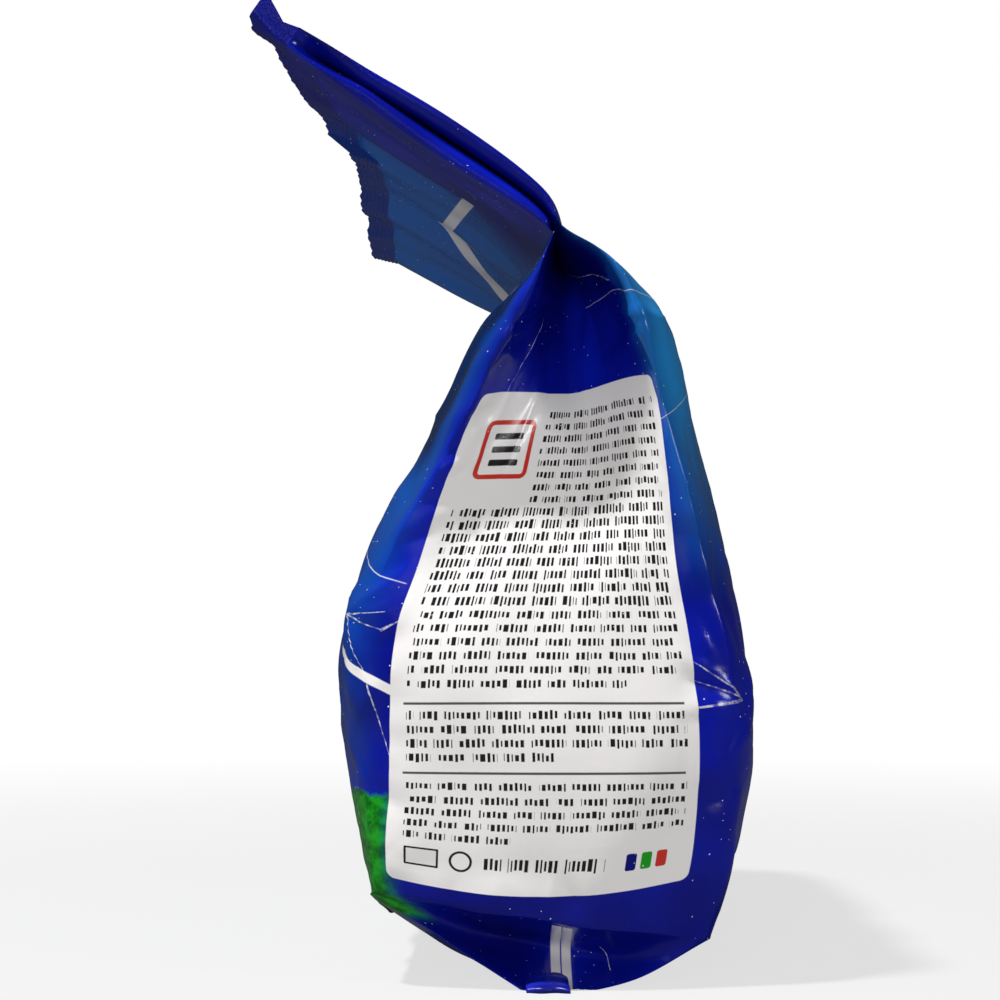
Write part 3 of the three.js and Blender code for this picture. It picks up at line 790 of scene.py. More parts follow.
def margin_crumple(across, heights):
    """The closer facets and creases of the near side, held off the label and ending on the panels."""
    on_label = ((1 - smoothstep(np.abs(across), LABEL_HALF - 6, LABEL_HALF + 4))
                * smoothstep(heights, LABEL_BOTTOM - 2, LABEL_BOTTOM + 6)
                * (1 - smoothstep(heights, LABEL_TOP - 6, LABEL_TOP + 6)))
    facets = facet_field(across, heights, MARGIN_FACET_SPACING, seed=14)
    creases = random_creases(across, heights, MARGIN_REGION, MARGIN_CREASES, seed=9)
    crumple = MARGIN_FACET_SHARE * facets + MARGIN_CREASE_SHARE * creases
    return (1 - on_label) * (1 - smoothstep(np.abs(across), *MARGIN_END)) * crumple


def side_waves(across, heights):
    """The slow waves of the near side, and short ones in a strip by its front ridge, a bell curve wide."""
    strip = np.exp(-0.5 * ((across - STRIP_PLACE) / STRIP_SPREAD) ** 2) * smoothstep(heights, *STRIP_START)
    short = smooth_field(STRIP_STRETCH * across, heights, STRIP_WAVE_LENGTH, seed=41)
    return (SIDE_WAVE_SHARE * smooth_field(across, heights, SIDE_WAVE_LENGTH, seed=4)
            + STRIP_WAVE_SHARE * strip * short)


def fine_creases(around, heights):
    """The small crumple of the filled body, as a height over the film."""
    across = np.broadcast_to(around, heights.shape)
    off_side = smoothstep(np.abs(across), *OFF_SIDE)
    off_seam = 1 - smoothstep(np.abs(across), *SEAM_FADE)
    crumple = margin_crumple(across, heights) + off_side * panel_crumple(across, heights) * off_seam
    return crumple * smoothstep(heights, *FOOT_FADE) + (1 - off_side) * side_waves(across, heights)


def film_slip(around, heights):
    """How far the print has moved over the near ridges: a bell curve at each, more at top and bottom."""
    high = RIDGE_SLIP * smoothstep(heights, *RIDGE_SLIP_RISE)
    low = FOOT_SLIP * smoothstep(-heights, *FOOT_SLIP_RISE)
    front = np.exp(-0.5 * ((around + HALF_GUSSET) / SLIP_SPREAD) ** 2)
    back = np.exp(-0.5 * ((around - HALF_GUSSET) / SLIP_SPREAD) ** 2)
    return high * (front - back) + low * front


def film_sag(around, heights):
    """How much lower the print hangs in the middle of the near side than at its ridges, near the foot."""
    return FOOT_SAG * np.minimum(1, (around / SAG_SPREAD) ** 2) * smoothstep(-heights, *SAG_RISE)


def print_place(around, heights):
    """Where the print lies that covers a place on the film."""
    return around + film_slip(around, heights), heights - film_sag(around, heights)


def outward(rings):
    """The unit normal at every point, from the cross product of the steps around and along."""
    sideways = np.roll(rings, -1, axis=1) - np.roll(rings, 1, axis=1)
    upward = np.gradient(rings, axis=0)
    normal = np.cross(sideways, upward)
    return normal / np.maximum(np.linalg.norm(normal, axis=2, keepdims=True), 1e-9)


def crimped(rails, rings):
    """Ripples both layers of the top seal together, and crumples the flap lengthwise."""
    along = rails["flap"][:, None]
    crimp = rails["crimp"][:, None]
    across = rings[..., 1]
    distance = along * FLAP_LENGTH
    inward = smoothstep(across + HALF_WIDTH, *RIB_INSETS)
    ribs = RIB_HEIGHT * np.sin(2 * math.pi * CRIMP_RIBS * crimp) * inward
    waves = smooth_field(across, distance * FLAP_WAVE_STRETCH, FLAP_WAVE_LENGTH, seed=31)
    crumple = flap_folds(across, distance) + FLAP_WAVE_SHARE * waves
    lengths = np.broadcast_to(distance, across.shape)
    pressed = PRESSED_SHARE * facet_field(across, lengths, PRESSED_SPACING, seed=35) * crimp ** 0.5
    lift = ribs + pressed + crumple * smoothstep(along, *CRUMPLE_RISE)
    return rings + FLAP_UP * lift[..., None]


def film_surface():
    """The whole skin with its creases, its film coordinates in millimetres and its sealed share."""
    rails = bag_rails()
    rings = film_rings(rails)
    around = around_film()
    rings = rings + flap_shift(rails, rings, around)
    rings = rounded(rings, around, rails["roundness"])
    heights = film_heights(rings)
    in_body = (rails["flap"] == 0)[:, None]
    off_floor = smoothstep(rings[..., 2], *FLOOR_FADE) * in_body
    folded = side_creases(np.broadcast_to(around, heights.shape), heights)
    small = fine_creases(around, heights)
    creased = (folded * (1 - smoothstep(heights, *FOLDED_FADE))
               + small * (1 - smoothstep(heights, *SMALL_FADE)))
    lift = creased * off_floor + broad_relief(around[None], rings[..., 2] - MID_HEIGHT) * in_body
    rings = crimped(rails, rings) + outward(rings) * lift[..., None]
    rings[..., 2] = np.maximum(0, rings[..., 2] - SETTLE)
    sealed = np.repeat(smoothstep(rails["crimp"], *SEAL_RISE), len(around))
    return rings, around, heights, sealed


def film_heights(rings):
    """The place of each point up the film: the length along its column, from where it crosses MID_HEIGHT."""
    steps = np.linalg.norm(np.diff(rings, axis=0), axis=2)
    length = np.vstack([np.zeros(rings.shape[1]), np.cumsum(steps, axis=0)])
    level = rings[BASE_ROWS:BASE_ROWS + BODY_ROWS, :, 2]
    above = BASE_ROWS + np.argmax(level > MID_HEIGHT, axis=0)
    column = np.arange(rings.shape[1])
    low = rings[above - 1, column, 2]
    share = (MID_HEIGHT - low) / (rings[above, column, 2] - low)
    return length - mix(length[above - 1, column], length[above, column], share)


def tube_faces(rows, columns):
    """Quads of a grid that closes on itself sideways, and strips that close its first and last rings."""
    row, column = np.meshgrid(np.arange(rows - 1), np.arange(columns), indexing="ij")
    low = row * columns
    following = (column + 1) % columns
    quads = np.stack([low + column, low + following, low + columns + following, low + columns + column], -1)
    pair = np.arange(1, columns // 2 - 1)
    strip = np.stack([pair, pair + 1, columns - pair - 1, columns - pair], -1)
    return quads.reshape(-1, 4), strip


def link_mesh(name, points, faces):
    """A smooth mesh object from points in millimetres, in the scene."""
    mesh = bpy.data.meshes.new(name)
    mesh.from_pydata((points.reshape(-1, 3) * MM).tolist(), [], faces)
    mesh.update()
    mesh.polygons.foreach_set("use_smooth", np.ones(len(mesh.polygons), bool))
    piece = bpy.data.objects.new(name, mesh)
    bpy.context.scene.collection.objects.link(piece)
    return piece


def film_bag():
    """The skin as one closed mesh, with a map of film coordinates and an attribute for its top seal."""
    rings, around, heights, sealed = film_surface()
    rows, columns = rings.shape[:2]
    quads, strip = tube_faces(rows, columns)
    last = (rows - 1) * columns
    half = columns // 2
    ends = [[0, columns - 1, 1], [half, half - 1, half + 1],
            [last, last + 1, last + columns - 1], [last + half, last + half + 1, last + half - 1]]
    faces = quads.tolist() + strip[:, ::-1].tolist() + (strip + last).tolist() + ends
    piece = link_mesh("film_bag", rings, faces)
    mesh = piece.data
    corners = np.empty(len(mesh.loops), int)
    mesh.loops.foreach_get("vertex_index", corners)
    film = np.stack(print_place(around, heights), -1).reshape(-1, 2)[corners]
    seam = np.zeros(len(mesh.loops), bool)
    seam[:4 * len(quads)].reshape(-1, columns, 4)[:, -1, 1:3] = True
    film[seam, 0] += FILM_LENGTH
    mesh.uv_layers.new(name="film").data.foreach_set("uv", (film * MM).ravel())
    mesh.attributes.new("sealed", "FLOAT", "POINT").data.foreach_set("value", sealed.ravel())
    return piece


def bottom_seal():
    """The bottom seal under the bag: a strip along Y that thins and ripples towards its two ends."""
    across = np.linspace(-1, 1, TAB_COLUMNS)
    along = np.linspace(-1, 1, TAB_ROWS)
    end = smoothstep(np.abs(along), 1 - TAB_END / TAB_REACH, 1.0)
    ripple = TAB_RIPPLE * np.sin(along * TAB_REACH * 2 * math.pi / TAB_PITCH)
    height = TAB_THICKNESS * (1 - TAB_THINNING * end) + ripple
    crown = 1 - TAB_CROWN * across ** 4
    wander = TAB_WANDER * np.sin(along * TAB_BENDS)
    slant = TAB_SLANT * np.sin(across * TAB_SLANTS)
    top = np.stack(np.broadcast_arrays(TAB_PLACE + across[None] * TAB_WIDTH / 2 + wander[:, None],
                                       (along * TAB_REACH)[:, None] + slant[None],
                                       height[:, None] * crown[None]), -1)
    bottom = top * np.array([1, 1, 0])
    rows, columns = top.shape[:2]
    points = np.concatenate([top.reshape(-1, 3), bottom.reshape(-1, 3)])
    index = np.arange(rows * columns).reshape(rows, columns)
    lower = index + rows * columns
    cells = np.stack([index[:-1, :-1], index[:-1, 1:], index[1:, 1:], index[1:, :-1]], -1).reshape(-1, 4)
    under = cells[:, ::-1] + rows * columns

    def wall(upper_edge, lower_edge):
        return np.stack([upper_edge[1:], upper_edge[:-1], lower_edge[:-1], lower_edge[1:]], -1)
    sides = [wall(index[0], lower[0]), wall(index[-1][::-1], lower[-1][::-1]),
             wall(index[::-1, 0], lower[::-1, 0]), wall(index[:, -1], lower[:, -1])]
    return link_mesh("bottom_seal", points, np.concatenate([cells, under] + sides).tolist())


class Graph:
    """Short ways to add and join shader nodes in one tree."""

    def __init__(self, tree):
        self.tree = tree

    def add(self, kind, inputs=None, **settings):
        node = self.tree.nodes.new(kind)
        for name, value in settings.items():
            setattr(node, name, value)
        for name, value in (inputs or {}).items():
            self.feed(node.inputs[name], value)
        return node

    def feed(self, socket, value):
        if isinstance(value, bpy.types.NodeSocket):
            self.tree.links.new(value, socket)
        else:
            socket.default_value = value

    def math(self, operation, first, second=0.0, third=0.0):
        node = self.add("ShaderNodeMath", {0: first, 1: second, 2: third}, operation=operation)
        return node.outputs[0]

    def product(self, first, *others):
        """The product of several values."""
        for other in others:
            first = self.math("MULTIPLY", first, other)
        return first

    def between(self, value, low, high, blur):
        """One where value lies between low and high, with soft edges."""
        rise = self.ramp(value, low - blur, low + blur)
        fall = self.ramp(value, high - blur, high + blur)
        return self.math("MULTIPLY", rise, self.math("SUBTRACT", 1.0, fall))

    def ramp(self, value, low, high, start=0.0, end=1.0):
        inputs = {"Value": value, "From Min": low, "From Max": high, "To Min": start, "To Max": end}
        return self.add("ShaderNodeMapRange", inputs, interpolation_type="SMOOTHSTEP").outputs[0]

    def mix(self, share, first, second):
        node = self.add("ShaderNodeMix", data_type="RGBA")
        self.feed(node.inputs[0], share)
        self.feed(node.inputs[6], first)
        self.feed(node.inputs[7], second)
        return node.outputs[2]

    def vector(self, x, y, z=0.0):
        return self.add("ShaderNodeCombineXYZ", {0: x, 1: y, 2: z}).outputs[0]

    def noise(self, vector, scale, detail=2.0, roughness=0.5):
        inputs = {"Vector": vector, "Scale": scale, "Detail": detail, "Roughness": roughness}
        return self.add("ShaderNodeTexNoise", inputs).outputs[0]


def new_group(name, inputs, outputs):
    """An empty shader node group with named value sockets, its graph and its two end nodes."""
    tree = bpy.data.node_groups.new(name, "ShaderNodeTree")
    for socket, default in inputs.items():
        made = tree.interface.new_socket(socket, in_out="INPUT", socket_type="NodeSocketFloat")
        made.default_value = default
    for socket in outputs:
        tree.interface.new_socket(socket, in_out="OUTPUT", socket_type="NodeSocketFloat")
    graph = Graph(tree)
    return graph, graph.add("NodeGroupInput"), graph.add("NodeGroupOutput")


def word_bars_group():
    """Rows of small plain blocks: each row is cut at random into words, and each word into uneven blocks."""
    inputs = {"U": 0, "V": 0, "Top": 0, "Rows": 1, "Left": -20, "Right": 20, "Pitch": 2.33, "Height": 1.3,
              "Seed": 0}
    graph, given, out = new_group("word_bars", inputs, ["Mask"])
    place = {name: given.outputs[name] for name in inputs}
    depth = graph.math("DIVIDE", graph.math("SUBTRACT", place["Top"], place["V"]), place["Pitch"])
    row = graph.math("FLOOR", depth)
    share = graph.math("SUBTRACT", graph.math("FRACT", depth), 0.5)
    jump = graph.math("MULTIPLY_ADD", row, ROW_JUMP, place["Seed"])

    def cells(length, feature):
        along = graph.math("MULTIPLY_ADD", place["U"], 1 / length, jump)
        settings = {"W": along, "Scale": 1.0, "Randomness": 1.0}
        return graph.add("ShaderNodeTexVoronoi", settings, voronoi_dimensions="1D", feature=feature).outputs

    def off_gaps(length, gap):
        distance = cells(length, "DISTANCE_TO_EDGE")["Distance"]
        return graph.ramp(distance, gap / length, GAP_BLUR * gap / length)
    chance = graph.add("ShaderNodeSeparateColor", {0: cells(BLOCK_LENGTH, "F1")["Color"]}).outputs
    half_share = graph.math("MULTIPLY_ADD", chance[0], BLOCK_HALF[1], BLOCK_HALF[0])
    half = graph.math("MULTIPLY", place["Height"], half_share)
    shift = graph.math("MULTIPLY_ADD", chance[1], BLOCK_SHIFT[1], BLOCK_SHIFT[0])
    off = graph.math("ABSOLUTE", graph.math("MULTIPLY_ADD", share, place["Pitch"], shift))
    past = graph.ramp(graph.math("SUBTRACT", off, half), -EDGE_BLUR, EDGE_BLUR)
    mask = graph.product(
        off_gaps(WORD_LENGTH, WORD_GAP),
        off_gaps(BLOCK_LENGTH, BLOCK_GAP),
        graph.math("SUBTRACT", 1.0, past),
        graph.math("GREATER_THAN", depth, 0.0),
        graph.math("LESS_THAN", depth, place["Rows"]),
        graph.math("GREATER_THAN", place["U"], place["Left"]),
        graph.math("LESS_THAN", place["U"], place["Right"]))
    graph.feed(out.inputs["Mask"], mask)
    return graph.tree


def rounded_box_group():
    """The signed distance, in millimetres, from a box with round corners."""
    inputs = {"U": 0, "V": 0, "Centre U": 0, "Centre V": 0, "Half width": 1, "Half height": 1, "Corner": 0.5}
    graph, given, out = new_group("rounded_box", inputs, ["Distance"])
    place = {name: given.outputs[name] for name in inputs}
    past = []
    for axis, half in (("U", "Half width"), ("V", "Half height")):
        off = graph.math("ABSOLUTE", graph.math("SUBTRACT", place[axis], place["Centre " + axis]))
        inner = graph.math("SUBTRACT", place[half], place["Corner"])
        past.append(graph.math("MAXIMUM", graph.math("SUBTRACT", off, inner), 0.0))
    square = graph.math("MULTIPLY_ADD", past[0], past[0], graph.math("MULTIPLY", past[1], past[1]))
    graph.feed(out.inputs["Distance"], graph.math("SUBTRACT", graph.math("SQRT", square), place["Corner"]))
    return graph.tree


def powder_dust_group():
    """Fine specks of powder: small round spots at a few of the points scattered over the film."""
    graph, given, out = new_group("powder_dust", {"U": 0, "V": 0, "Amount": 0.3}, ["Mask"])
    place = graph.vector(given.outputs["U"], given.outputs["V"])
    inputs = {"Vector": place, "Scale": DUST_SCALE}
    cells = graph.add("ShaderNodeTexVoronoi", inputs, voronoi_dimensions="2D")
    chance = graph.add("ShaderNodeSeparateColor", {0: cells.outputs["Color"]})
    patchy = graph.noise(place, DUST_PATCHES, 1.0)
    wanted = graph.math("MULTIPLY", given.outputs["Amount"], graph.ramp(patchy, *DUST_PATCH_SPAN))
    chosen = graph.math("LESS_THAN", chance.outputs[0], wanted)
    size = graph.math("MULTIPLY_ADD", chance.outputs[1], DUST_SIZES[1], DUST_SIZES[0])
    spot = graph.math("LESS_THAN", cells.outputs["Distance"], size)
    graph.feed(out.inputs["Mask"], graph.math("MULTIPLY", chosen, spot))
    return graph.tree


def painted_glint_line_group():
    """A line from start to end that thins towards its end, as a mask: the shape of one painted glint."""
    inputs = {"U": 0, "V": 0, "Start U": 0, "Start V": 0, "End U": 1, "End V": 1, "Half": 0.3}
    graph, given, out = new_group("painted_glint_line", inputs, ["Mask"])
    place = {name: given.outputs[name] for name in inputs}
    run = [graph.math("SUBTRACT", place["End " + axis], place["Start " + axis]) for axis in "UV"]
    gone = [graph.math("SUBTRACT", place[axis], place["Start " + axis]) for axis in "UV"]
    length = graph.math("MULTIPLY_ADD", run[0], run[0], graph.math("MULTIPLY", run[1], run[1]))
    along = graph.math("MULTIPLY_ADD", run[0], gone[0], graph.math("MULTIPLY", run[1], gone[1]))
    share = graph.math("MINIMUM", graph.math("MAXIMUM", graph.math("DIVIDE", along, length), 0.0), 1.0)
    back = graph.math("MULTIPLY", share, -1.0)
    off = [graph.math("MULTIPLY_ADD", back, run[axis], gone[axis]) for axis in range(2)]
    square = graph.math("MULTIPLY_ADD", off[0], off[0], graph.math("MULTIPLY", off[1], off[1]))
    half = graph.math("MULTIPLY", place["Half"], graph.math("MULTIPLY_ADD", share, -CREASE_FADE, 1.0))
    distance = graph.math("DIVIDE", graph.math("SQRT", square), half)
    graph.feed(out.inputs["Mask"], graph.ramp(distance, 1.0, 0.5))
    return graph.tree


def film_wrinkles_group():
    """Fine wrinkles of thin film: the mean of stretched noise in two directions, as a height from 0 to 1."""
    graph, given, out = new_group("film_wrinkles", {"U": 0, "V": 0}, ["Height"])

    def stretched(stretch, scale):
        place = [graph.math("MULTIPLY", given.outputs[axis], share) for axis, share in zip("UV", stretch)]
        return graph.noise(graph.vector(*place), scale, 3.0, WRINKLE_ROUGHNESS)
    first = stretched(LENGTHWISE_STRETCH, LENGTHWISE_SCALE)
    second = stretched(CROSSWISE_STRETCH, CROSSWISE_SCALE)
    graph.feed(out.inputs["Height"], graph.math("MULTIPLY", graph.math("ADD", first, second), 0.5))
    return graph.tree


def place_group(graph, tree, inputs):
    """The first output of a group that is placed with its own inputs."""
    node = graph.add("ShaderNodeGroup", node_tree=tree)
    for name, value in inputs.items():
        graph.feed(node.inputs[name], value)
    return node.outputs[0]


def in_millimetres(graph, place):
    """The first two coordinates of a place, in millimetres."""
    scaled = graph.add("ShaderNodeVectorMath", {0: place, 1: (1 / MM,) * 3}, operation="MULTIPLY")
    parts = graph.add("ShaderNodeSeparateXYZ", {0: scaled.outputs[0]}).outputs
    return parts[0], parts[1]


def film_place(graph):
    """The film coordinates, from the film's own map."""
    return in_millimetres(graph, graph.add("ShaderNodeUVMap", uv_map="film").outputs[0])


def object_place(graph):
    """The place on the object, from front to back and along the bag's width."""
    return in_millimetres(graph, graph.add("ShaderNodeTexCoord").outputs["Object"])


def off_far_gusset(graph, u):
    """One on the panels, fading to none towards the middle of the far gusset."""
    return graph.ramp(graph.math("ABSOLUTE", u), *GUSSET_FADE)


def blue_fields(graph, u, v):
    """The mottled blue ground, with a paler front panel, a bright field on it and a pale back ridge."""
    cloud = graph.noise(graph.vector(u, v), CLOUD_SCALE)
    ground = graph.mix(graph.ramp(cloud, *CLOUD_SPAN), DEEP_BLUE, MID_BLUE)
    front = graph.math("SUBTRACT", 0.0, u)
    shown = graph.product(graph.ramp(v, *PINCH_FADE), off_far_gusset(graph, u))
    pale_front = graph.product(graph.ramp(front, *FRONT_SIDE), graph.ramp(v, *FRONT_RISE), shown)
    ground = graph.mix(pale_front, ground, FRONT_BLUE)
    sky = graph.product(graph.ramp(front, *SKY_SIDE), off_far_gusset(graph, u))
    ground = graph.mix(sky, ground, SKY_BLUE)
    pale_back = graph.product(graph.ramp(u, *BACK_SIDE), graph.ramp(v, *BACK_RISE), shown)
    return graph.mix(pale_back, ground, BACK_BLUE)


def green_foot(graph, u, v):
    """The mottled green along the foot of the front panel, with an uneven top edge: colour and mask."""
    leafy = graph.noise(graph.vector(u, v), LEAF_SCALE, 3.0, 0.6)
    edge = graph.math("MULTIPLY_ADD", graph.math("SUBTRACT", leafy, 0.5), LEAF_EDGE, v)
    mask = graph.product(
        graph.ramp(edge, FOOT_TOP + FOOT_BLUR, FOOT_TOP - FOOT_BLUR),
        graph.ramp(graph.math("SUBTRACT", 0.0, u), *FOOT_SIDE),
        graph.ramp(v, FOOT_END - FOOT_END_BLUR, FOOT_END + FOOT_END_BLUR),
        off_far_gusset(graph, u))
    return graph.mix(graph.ramp(leafy, *LEAF_SPAN), DARK_GREEN, FRESH_GREEN), mask


def straight_stripe(graph, u, v, slope, height, half, low, high):
    """The mask of a stripe that falls evenly round the film, from one place to another."""
    level = graph.math("MULTIPLY_ADD", u, slope, v)
    band = graph.between(level, height - half, height + half, STRIPE_BLUR)
    return graph.product(band, graph.between(u, low, high, STRIPE_END_BLUR))


def bent_stripe(graph, u, v):
    """The mask of the flap's stripe: two arms of different widths that meet in a bend."""
    off = graph.math("SUBTRACT", u, BENT_STRIPE_PLACE[0])
    arms = [graph.math("MULTIPLY", off, slope) for slope in BENT_STRIPE_SLOPES]
    centre = graph.math("ADD", graph.math("MINIMUM", *arms), BENT_STRIPE_PLACE[1])
    half = graph.ramp(off, -1, 1, *BENT_STRIPE_HALVES)
    level = graph.math("DIVIDE", graph.math("SUBTRACT", v, centre), half)
    band = graph.between(level, -1.0, 1.0, BENT_STRIPE_BLUR)
    return graph.product(band, graph.between(u, *BENT_STRIPE_ENDS, BENT_STRIPE_END_BLUR))


def film_background(graph, u, v):
    """The print all round the bag: the blue ground, the green foot and a few plain stripes."""
    green, foot = green_foot(graph, u, v)
    ground = graph.mix(foot, blue_fields(graph, u, v), green)
    for stripe in STRIPES:
        ground = graph.mix(straight_stripe(graph, u, v, *stripe), ground, WARM_WHITE)
    return graph.mix(bent_stripe(graph, u, v), ground, WARM_WHITE)


def label_print(graph, u, v, groups):
    """The white panel of the near side with its rules, rows of bars and plain marks: colour and mask."""
    def box(centre_u, centre_v, half_width, half_height, corner):
        inputs = {"U": u, "V": v, "Centre U": centre_u, "Centre V": centre_v, "Half width": half_width,
                  "Half height": half_height, "Corner": corner}
        distance = place_group(graph, groups["rounded_box"], inputs)
        return graph.math("SUBTRACT", 1.0, graph.ramp(distance, -EDGE_BLUR, EDGE_BLUR))

    def frame_line(centre_u, centre_v, half_width, half_height, corner, line):
        outer = box(centre_u, centre_v, half_width, half_height, corner)
        inner_corner = max(corner - line, LEAST_CORNER)
        inner = box(centre_u, centre_v, half_width - line, half_height - line, inner_corner)
        return graph.math("SUBTRACT", outer, inner)

    def row_bars(number, row):
        inputs = {"U": u, "V": v, "Seed": ROW_SEED * number} | dict(zip(ROW_SOCKETS, row))
        return place_group(graph, groups["word_bars"], inputs)
    dark = [row_bars(number, row) for number, row in enumerate(LABEL_ROWS)]
    dark += [box(LABEL_CENTRE, level, LABEL_HALF - RULE_INSET, *RULE_SHAPE) for level in LABEL_RULES]
    dark += [frame_line(*shape) for shape in DARK_FRAMES]
    dark += [box(RED_FRAME[0], level, *FRAME_BAR_SHAPE) for level in FRAME_BARS]
    ink = dark[0]
    for mark in dark[1:]:
        ink = graph.math("MAXIMUM", ink, mark)
    sheet = graph.mix(ink, LABEL_WHITE, INK_BLACK)
    for number, shade in enumerate((DEEP_BLUE, FRESH_GREEN, SIGNAL_RED)):
        patch = box(PATCH_START[0] + PATCH_PITCH * number, PATCH_START[1], *PATCH_SHAPE)
        sheet = graph.mix(patch, sheet, shade)
    sheet = graph.mix(frame_line(*RED_FRAME), sheet, SIGNAL_RED)
    middle_v = (LABEL_TOP + LABEL_BOTTOM) / 2
    return sheet, box(LABEL_CENTRE, middle_v, LABEL_HALF, LABEL_TOP - middle_v, LABEL_CORNER)


def painted_crease_glints(graph, u, v, groups):
    """Painted glints, partly the film's whitening: broken white lines along its hard folds, moved with the
    print.
    """
    marks = 0.0
    for start, end, _, _, half in SIDE_CREASES:
        if half > 0:
            start_u, start_v = print_place(*start)
            end_u, end_v = print_place(*end)
            inputs = {"U": u, "V": v, "Start U": start_u, "Start V": start_v, "End U": end_u, "End V": end_v,
                      "Half": half}
            marks = graph.math("MAXIMUM", place_group(graph, groups["painted_glint_line"], inputs), marks)
    broken = graph.ramp(graph.noise(graph.vector(u, v), GLINT_BREAK_SCALE), *GLINT_BREAK_SPAN)
    return graph.product(marks, broken)


def lip_stripes(graph, v):
    """The white stripes on the film that is folded under at the near end of the bottom."""
    x, y = object_place(graph)
    folded = graph.product(graph.math("LESS_THAN", v, FOLD_LEVEL), graph.math("LESS_THAN", y, 0.0))
    bands = [graph.between(x, low, high, LIP_STRIPE_BLUR) for low, high in LIP_STRIPES]
    return graph.product(graph.math("MAXIMUM", *bands), folded)


def film_material(name):
    """A new material with its graph and its shader."""
    material = bpy.data.materials.new(name)
    material.use_nodes = True
    return material, Graph(material.node_tree), material.node_tree.nodes["Principled BSDF"]


def wrinkled(graph, groups, u, v, strength):
    """The normal of a film with fine wrinkles."""
    height = place_group(graph, groups["film_wrinkles"], {"U": u, "V": v})
    inputs = {"Height": height, "Strength": strength, "Distance": WRINKLE_DEPTH}
    return graph.add("ShaderNodeBump", inputs).outputs[0]


def printed_film(groups):
    """Glossy printed film: the print, painted glints on the creases, powder dust, uneven gloss and fine
    wrinkles.
    """
    material, graph, shader = film_material("printed_film")
    u, v = film_place(graph)
    ground = graph.mix(lip_stripes(graph, v), film_background(graph, u, v), WARM_WHITE)
    sealed = graph.add("ShaderNodeAttribute", attribute_name="sealed").outputs["Fac"]
    ground = graph.mix(graph.math("MULTIPLY", sealed, SEAL_DARKENING), ground, DEEP_BLUE)
    sheet, label = label_print(graph, u, v, groups)
    printed = graph.mix(label, ground, sheet)
    # Painted glints along the hard creases, in warm white
    printed = graph.mix(painted_crease_glints(graph, u, v, groups), printed, WARM_WHITE)
    dust = place_group(graph, groups["powder_dust"], {"U": u, "V": v, "Amount": FILM_DUST})
    printed = graph.mix(graph.math("MULTIPLY", dust, FILM_DUST_SHARE), printed, WARM_WHITE)
    uneven = graph.noise(graph.vector(u, v), GLOSS_SCALE, 3.0)
    graph.feed(shader.inputs["Base Color"], printed)
    graph.feed(shader.inputs["Roughness"], graph.ramp(uneven, *GLOSS_SPAN))
    graph.feed(shader.inputs["Normal"], wrinkled(graph, groups, u, v, graph.ramp(v, *WRINKLE_SPAN)))
    shader.inputs["IOR"].default_value = FILM_IOR
    return material


def seal_film(groups):
    """The bare blue film of the bottom seal, with the same dust and wrinkles."""
    material, graph, shader = film_material("seal_film")
    x, y = object_place(graph)
    cloud = graph.noise(graph.vector(x, y), SEAL_CLOUD_SCALE)
    ground = graph.mix(graph.ramp(cloud, *CLOUD_SPAN), DEEP_BLUE, MID_BLUE)
    dust = place_group(graph, groups["powder_dust"], {"U": x, "V": y, "Amount": SEAL_DUST})
    graph.feed(shader.inputs["Base Color"], graph.mix(dust, ground, WARM_WHITE))
    graph.feed(shader.inputs["Roughness"], graph.ramp(cloud, *SEAL_GLOSS_SPAN))
    graph.feed(shader.inputs["Normal"], wrinkled(graph, groups, x, y, SEAL_WRINKLES))
    return material


def by_ray(graph, direct, glossy, other):
    """A value by kind of ray: from the camera or through glass, off a glossy surface, or any other."""
    path = graph.add("ShaderNodeLightPath").outputs
    seen = graph.math("MAXIMUM", path["Is Camera Ray"], path["Is Transmission Ray"])
    indirect = graph.math("MULTIPLY_ADD", path["Is Glossy Ray"], glossy - other, other)
    return graph.add("ShaderNodeMix", {"Factor": seen, "A": indirect, "B": direct}).outputs["Result"]


def floor_disc():
    """A flat disc of rings that widen outwards, as points in millimetres and faces."""
    rings = np.array(FLOOR_RINGS) / MM
    turn = np.linspace(0, 2 * math.pi, FLOOR_SIDES, endpoint=False)
    flat = np.zeros((len(rings), FLOOR_SIDES))
    points = np.stack([rings[:, None] * np.cos(turn), rings[:, None] * np.sin(turn), flat], -1)
    ring, step = np.meshgrid(np.arange(len(rings) - 1), np.arange(FLOOR_SIDES), indexing="ij")
    inner = ring * FLOOR_SIDES
    outer = inner + FLOOR_SIDES
    following = (step + 1) % FLOOR_SIDES
    quads = np.stack([inner + step, outer + step, outer + following, inner + following], -1)
    return points, quads.reshape(-1, 4).tolist() + [list(range(FLOOR_SIDES))]


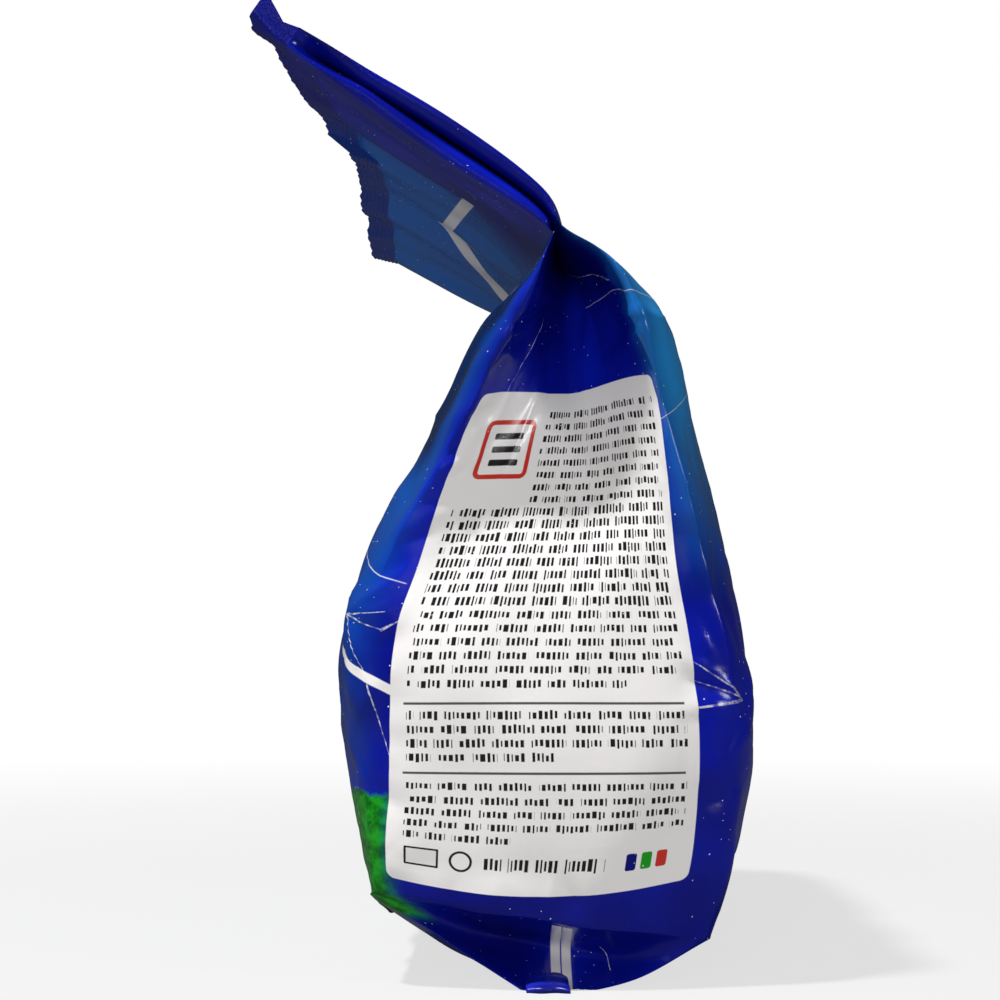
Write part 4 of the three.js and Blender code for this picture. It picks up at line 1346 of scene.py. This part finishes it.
def studio_floor():
    """A round pale floor that keeps the shadow near the bag and turns into the background further out."""
    floor = link_mesh("floor", *floor_disc())
    material = bpy.data.materials.new("pale_floor")
    material.use_nodes = True
    graph = Graph(material.node_tree)
    material.node_tree.nodes.clear()
    place = graph.add("ShaderNodeTexCoord").outputs["Object"]
    away = graph.add("ShaderNodeVectorMath", {0: place}, operation="LENGTH").outputs["Value"]
    grey = by_ray(graph, FLOOR_SEEN, FLOOR_MIRRORED, FLOOR_BOUNCE)
    plain = graph.add("ShaderNodeBsdfDiffuse", {"Color": grey})
    white = graph.add("ShaderNodeEmission", {"Color": (1, 1, 1, 1), "Strength": 1.0})
    shown = by_ray(graph, 1.0, FLOOR_GLOSS, 0.0)
    share = graph.product(shown, graph.ramp(away, *FLOOR_FADING, FLOOR_WHITE, 1.0))
    both = graph.add("ShaderNodeMixShader", {0: share, 1: plain.outputs[0], 2: white.outputs[0]})
    graph.add("ShaderNodeOutputMaterial", {"Surface": both.outputs[0]})
    floor.data.materials.append(material)


def studio_lamp(name, place, target_height, size, power, mirrored):
    """A round lamp that aims at the bag's axis."""
    lamp = bpy.data.lights.new(name, "AREA")
    lamp.shape = "DISK"
    lamp.size = size
    lamp.energy = power
    holder = bpy.data.objects.new(name, lamp)
    holder.location = place
    holder.visible_glossy = mirrored
    aim = np.subtract((0, 0, target_height), place)
    pitch = math.atan2(aim[2], math.hypot(aim[0], aim[1]))
    heading = math.atan2(aim[1], aim[0])
    holder.rotation_euler = (math.pi / 2 + pitch, 0, heading - math.pi / 2)
    bpy.context.scene.collection.objects.link(holder)


def studio_world():
    """White to the camera, and a dim even light for everything else."""
    world = bpy.data.worlds.new("studio")
    world.use_nodes = True
    graph = Graph(world.node_tree)
    back = world.node_tree.nodes["Background"]
    back.inputs["Color"].default_value = (1, 1, 1, 1)
    graph.feed(back.inputs["Strength"], by_ray(graph, 1.0, WORLD_GLOSS, WORLD_LEVEL))
    bpy.context.scene.world = world


def front_camera():
    """The camera at the near gusset, tilted up a little."""
    lens = bpy.data.cameras.new("camera")
    lens.lens = CAMERA_LENS
    camera = bpy.data.objects.new("camera", lens)
    camera.location = CAMERA_PLACE
    camera.rotation_euler = (math.pi / 2 + CAMERA_TILT, 0, 0)
    bpy.context.scene.collection.objects.link(camera)
    bpy.context.scene.camera = camera


groups = {
    "word_bars": word_bars_group(),
    "rounded_box": rounded_box_group(),
    "powder_dust": powder_dust_group(),
    "painted_glint_line": painted_glint_line_group(),
    "film_wrinkles": film_wrinkles_group(),
}

bag = film_bag()
bag.data.materials.append(printed_film(groups))
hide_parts("powder_bag")
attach(bag, "root")

tab = bottom_seal()
tab.data.materials.append(seal_film(groups))
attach(tab, "root")

front_camera()
studio_world()
studio_floor()
for lamp_row in LAMPS:
    studio_lamp(*lamp_row)
bpy.context.scene.view_settings.view_transform = "Standard"
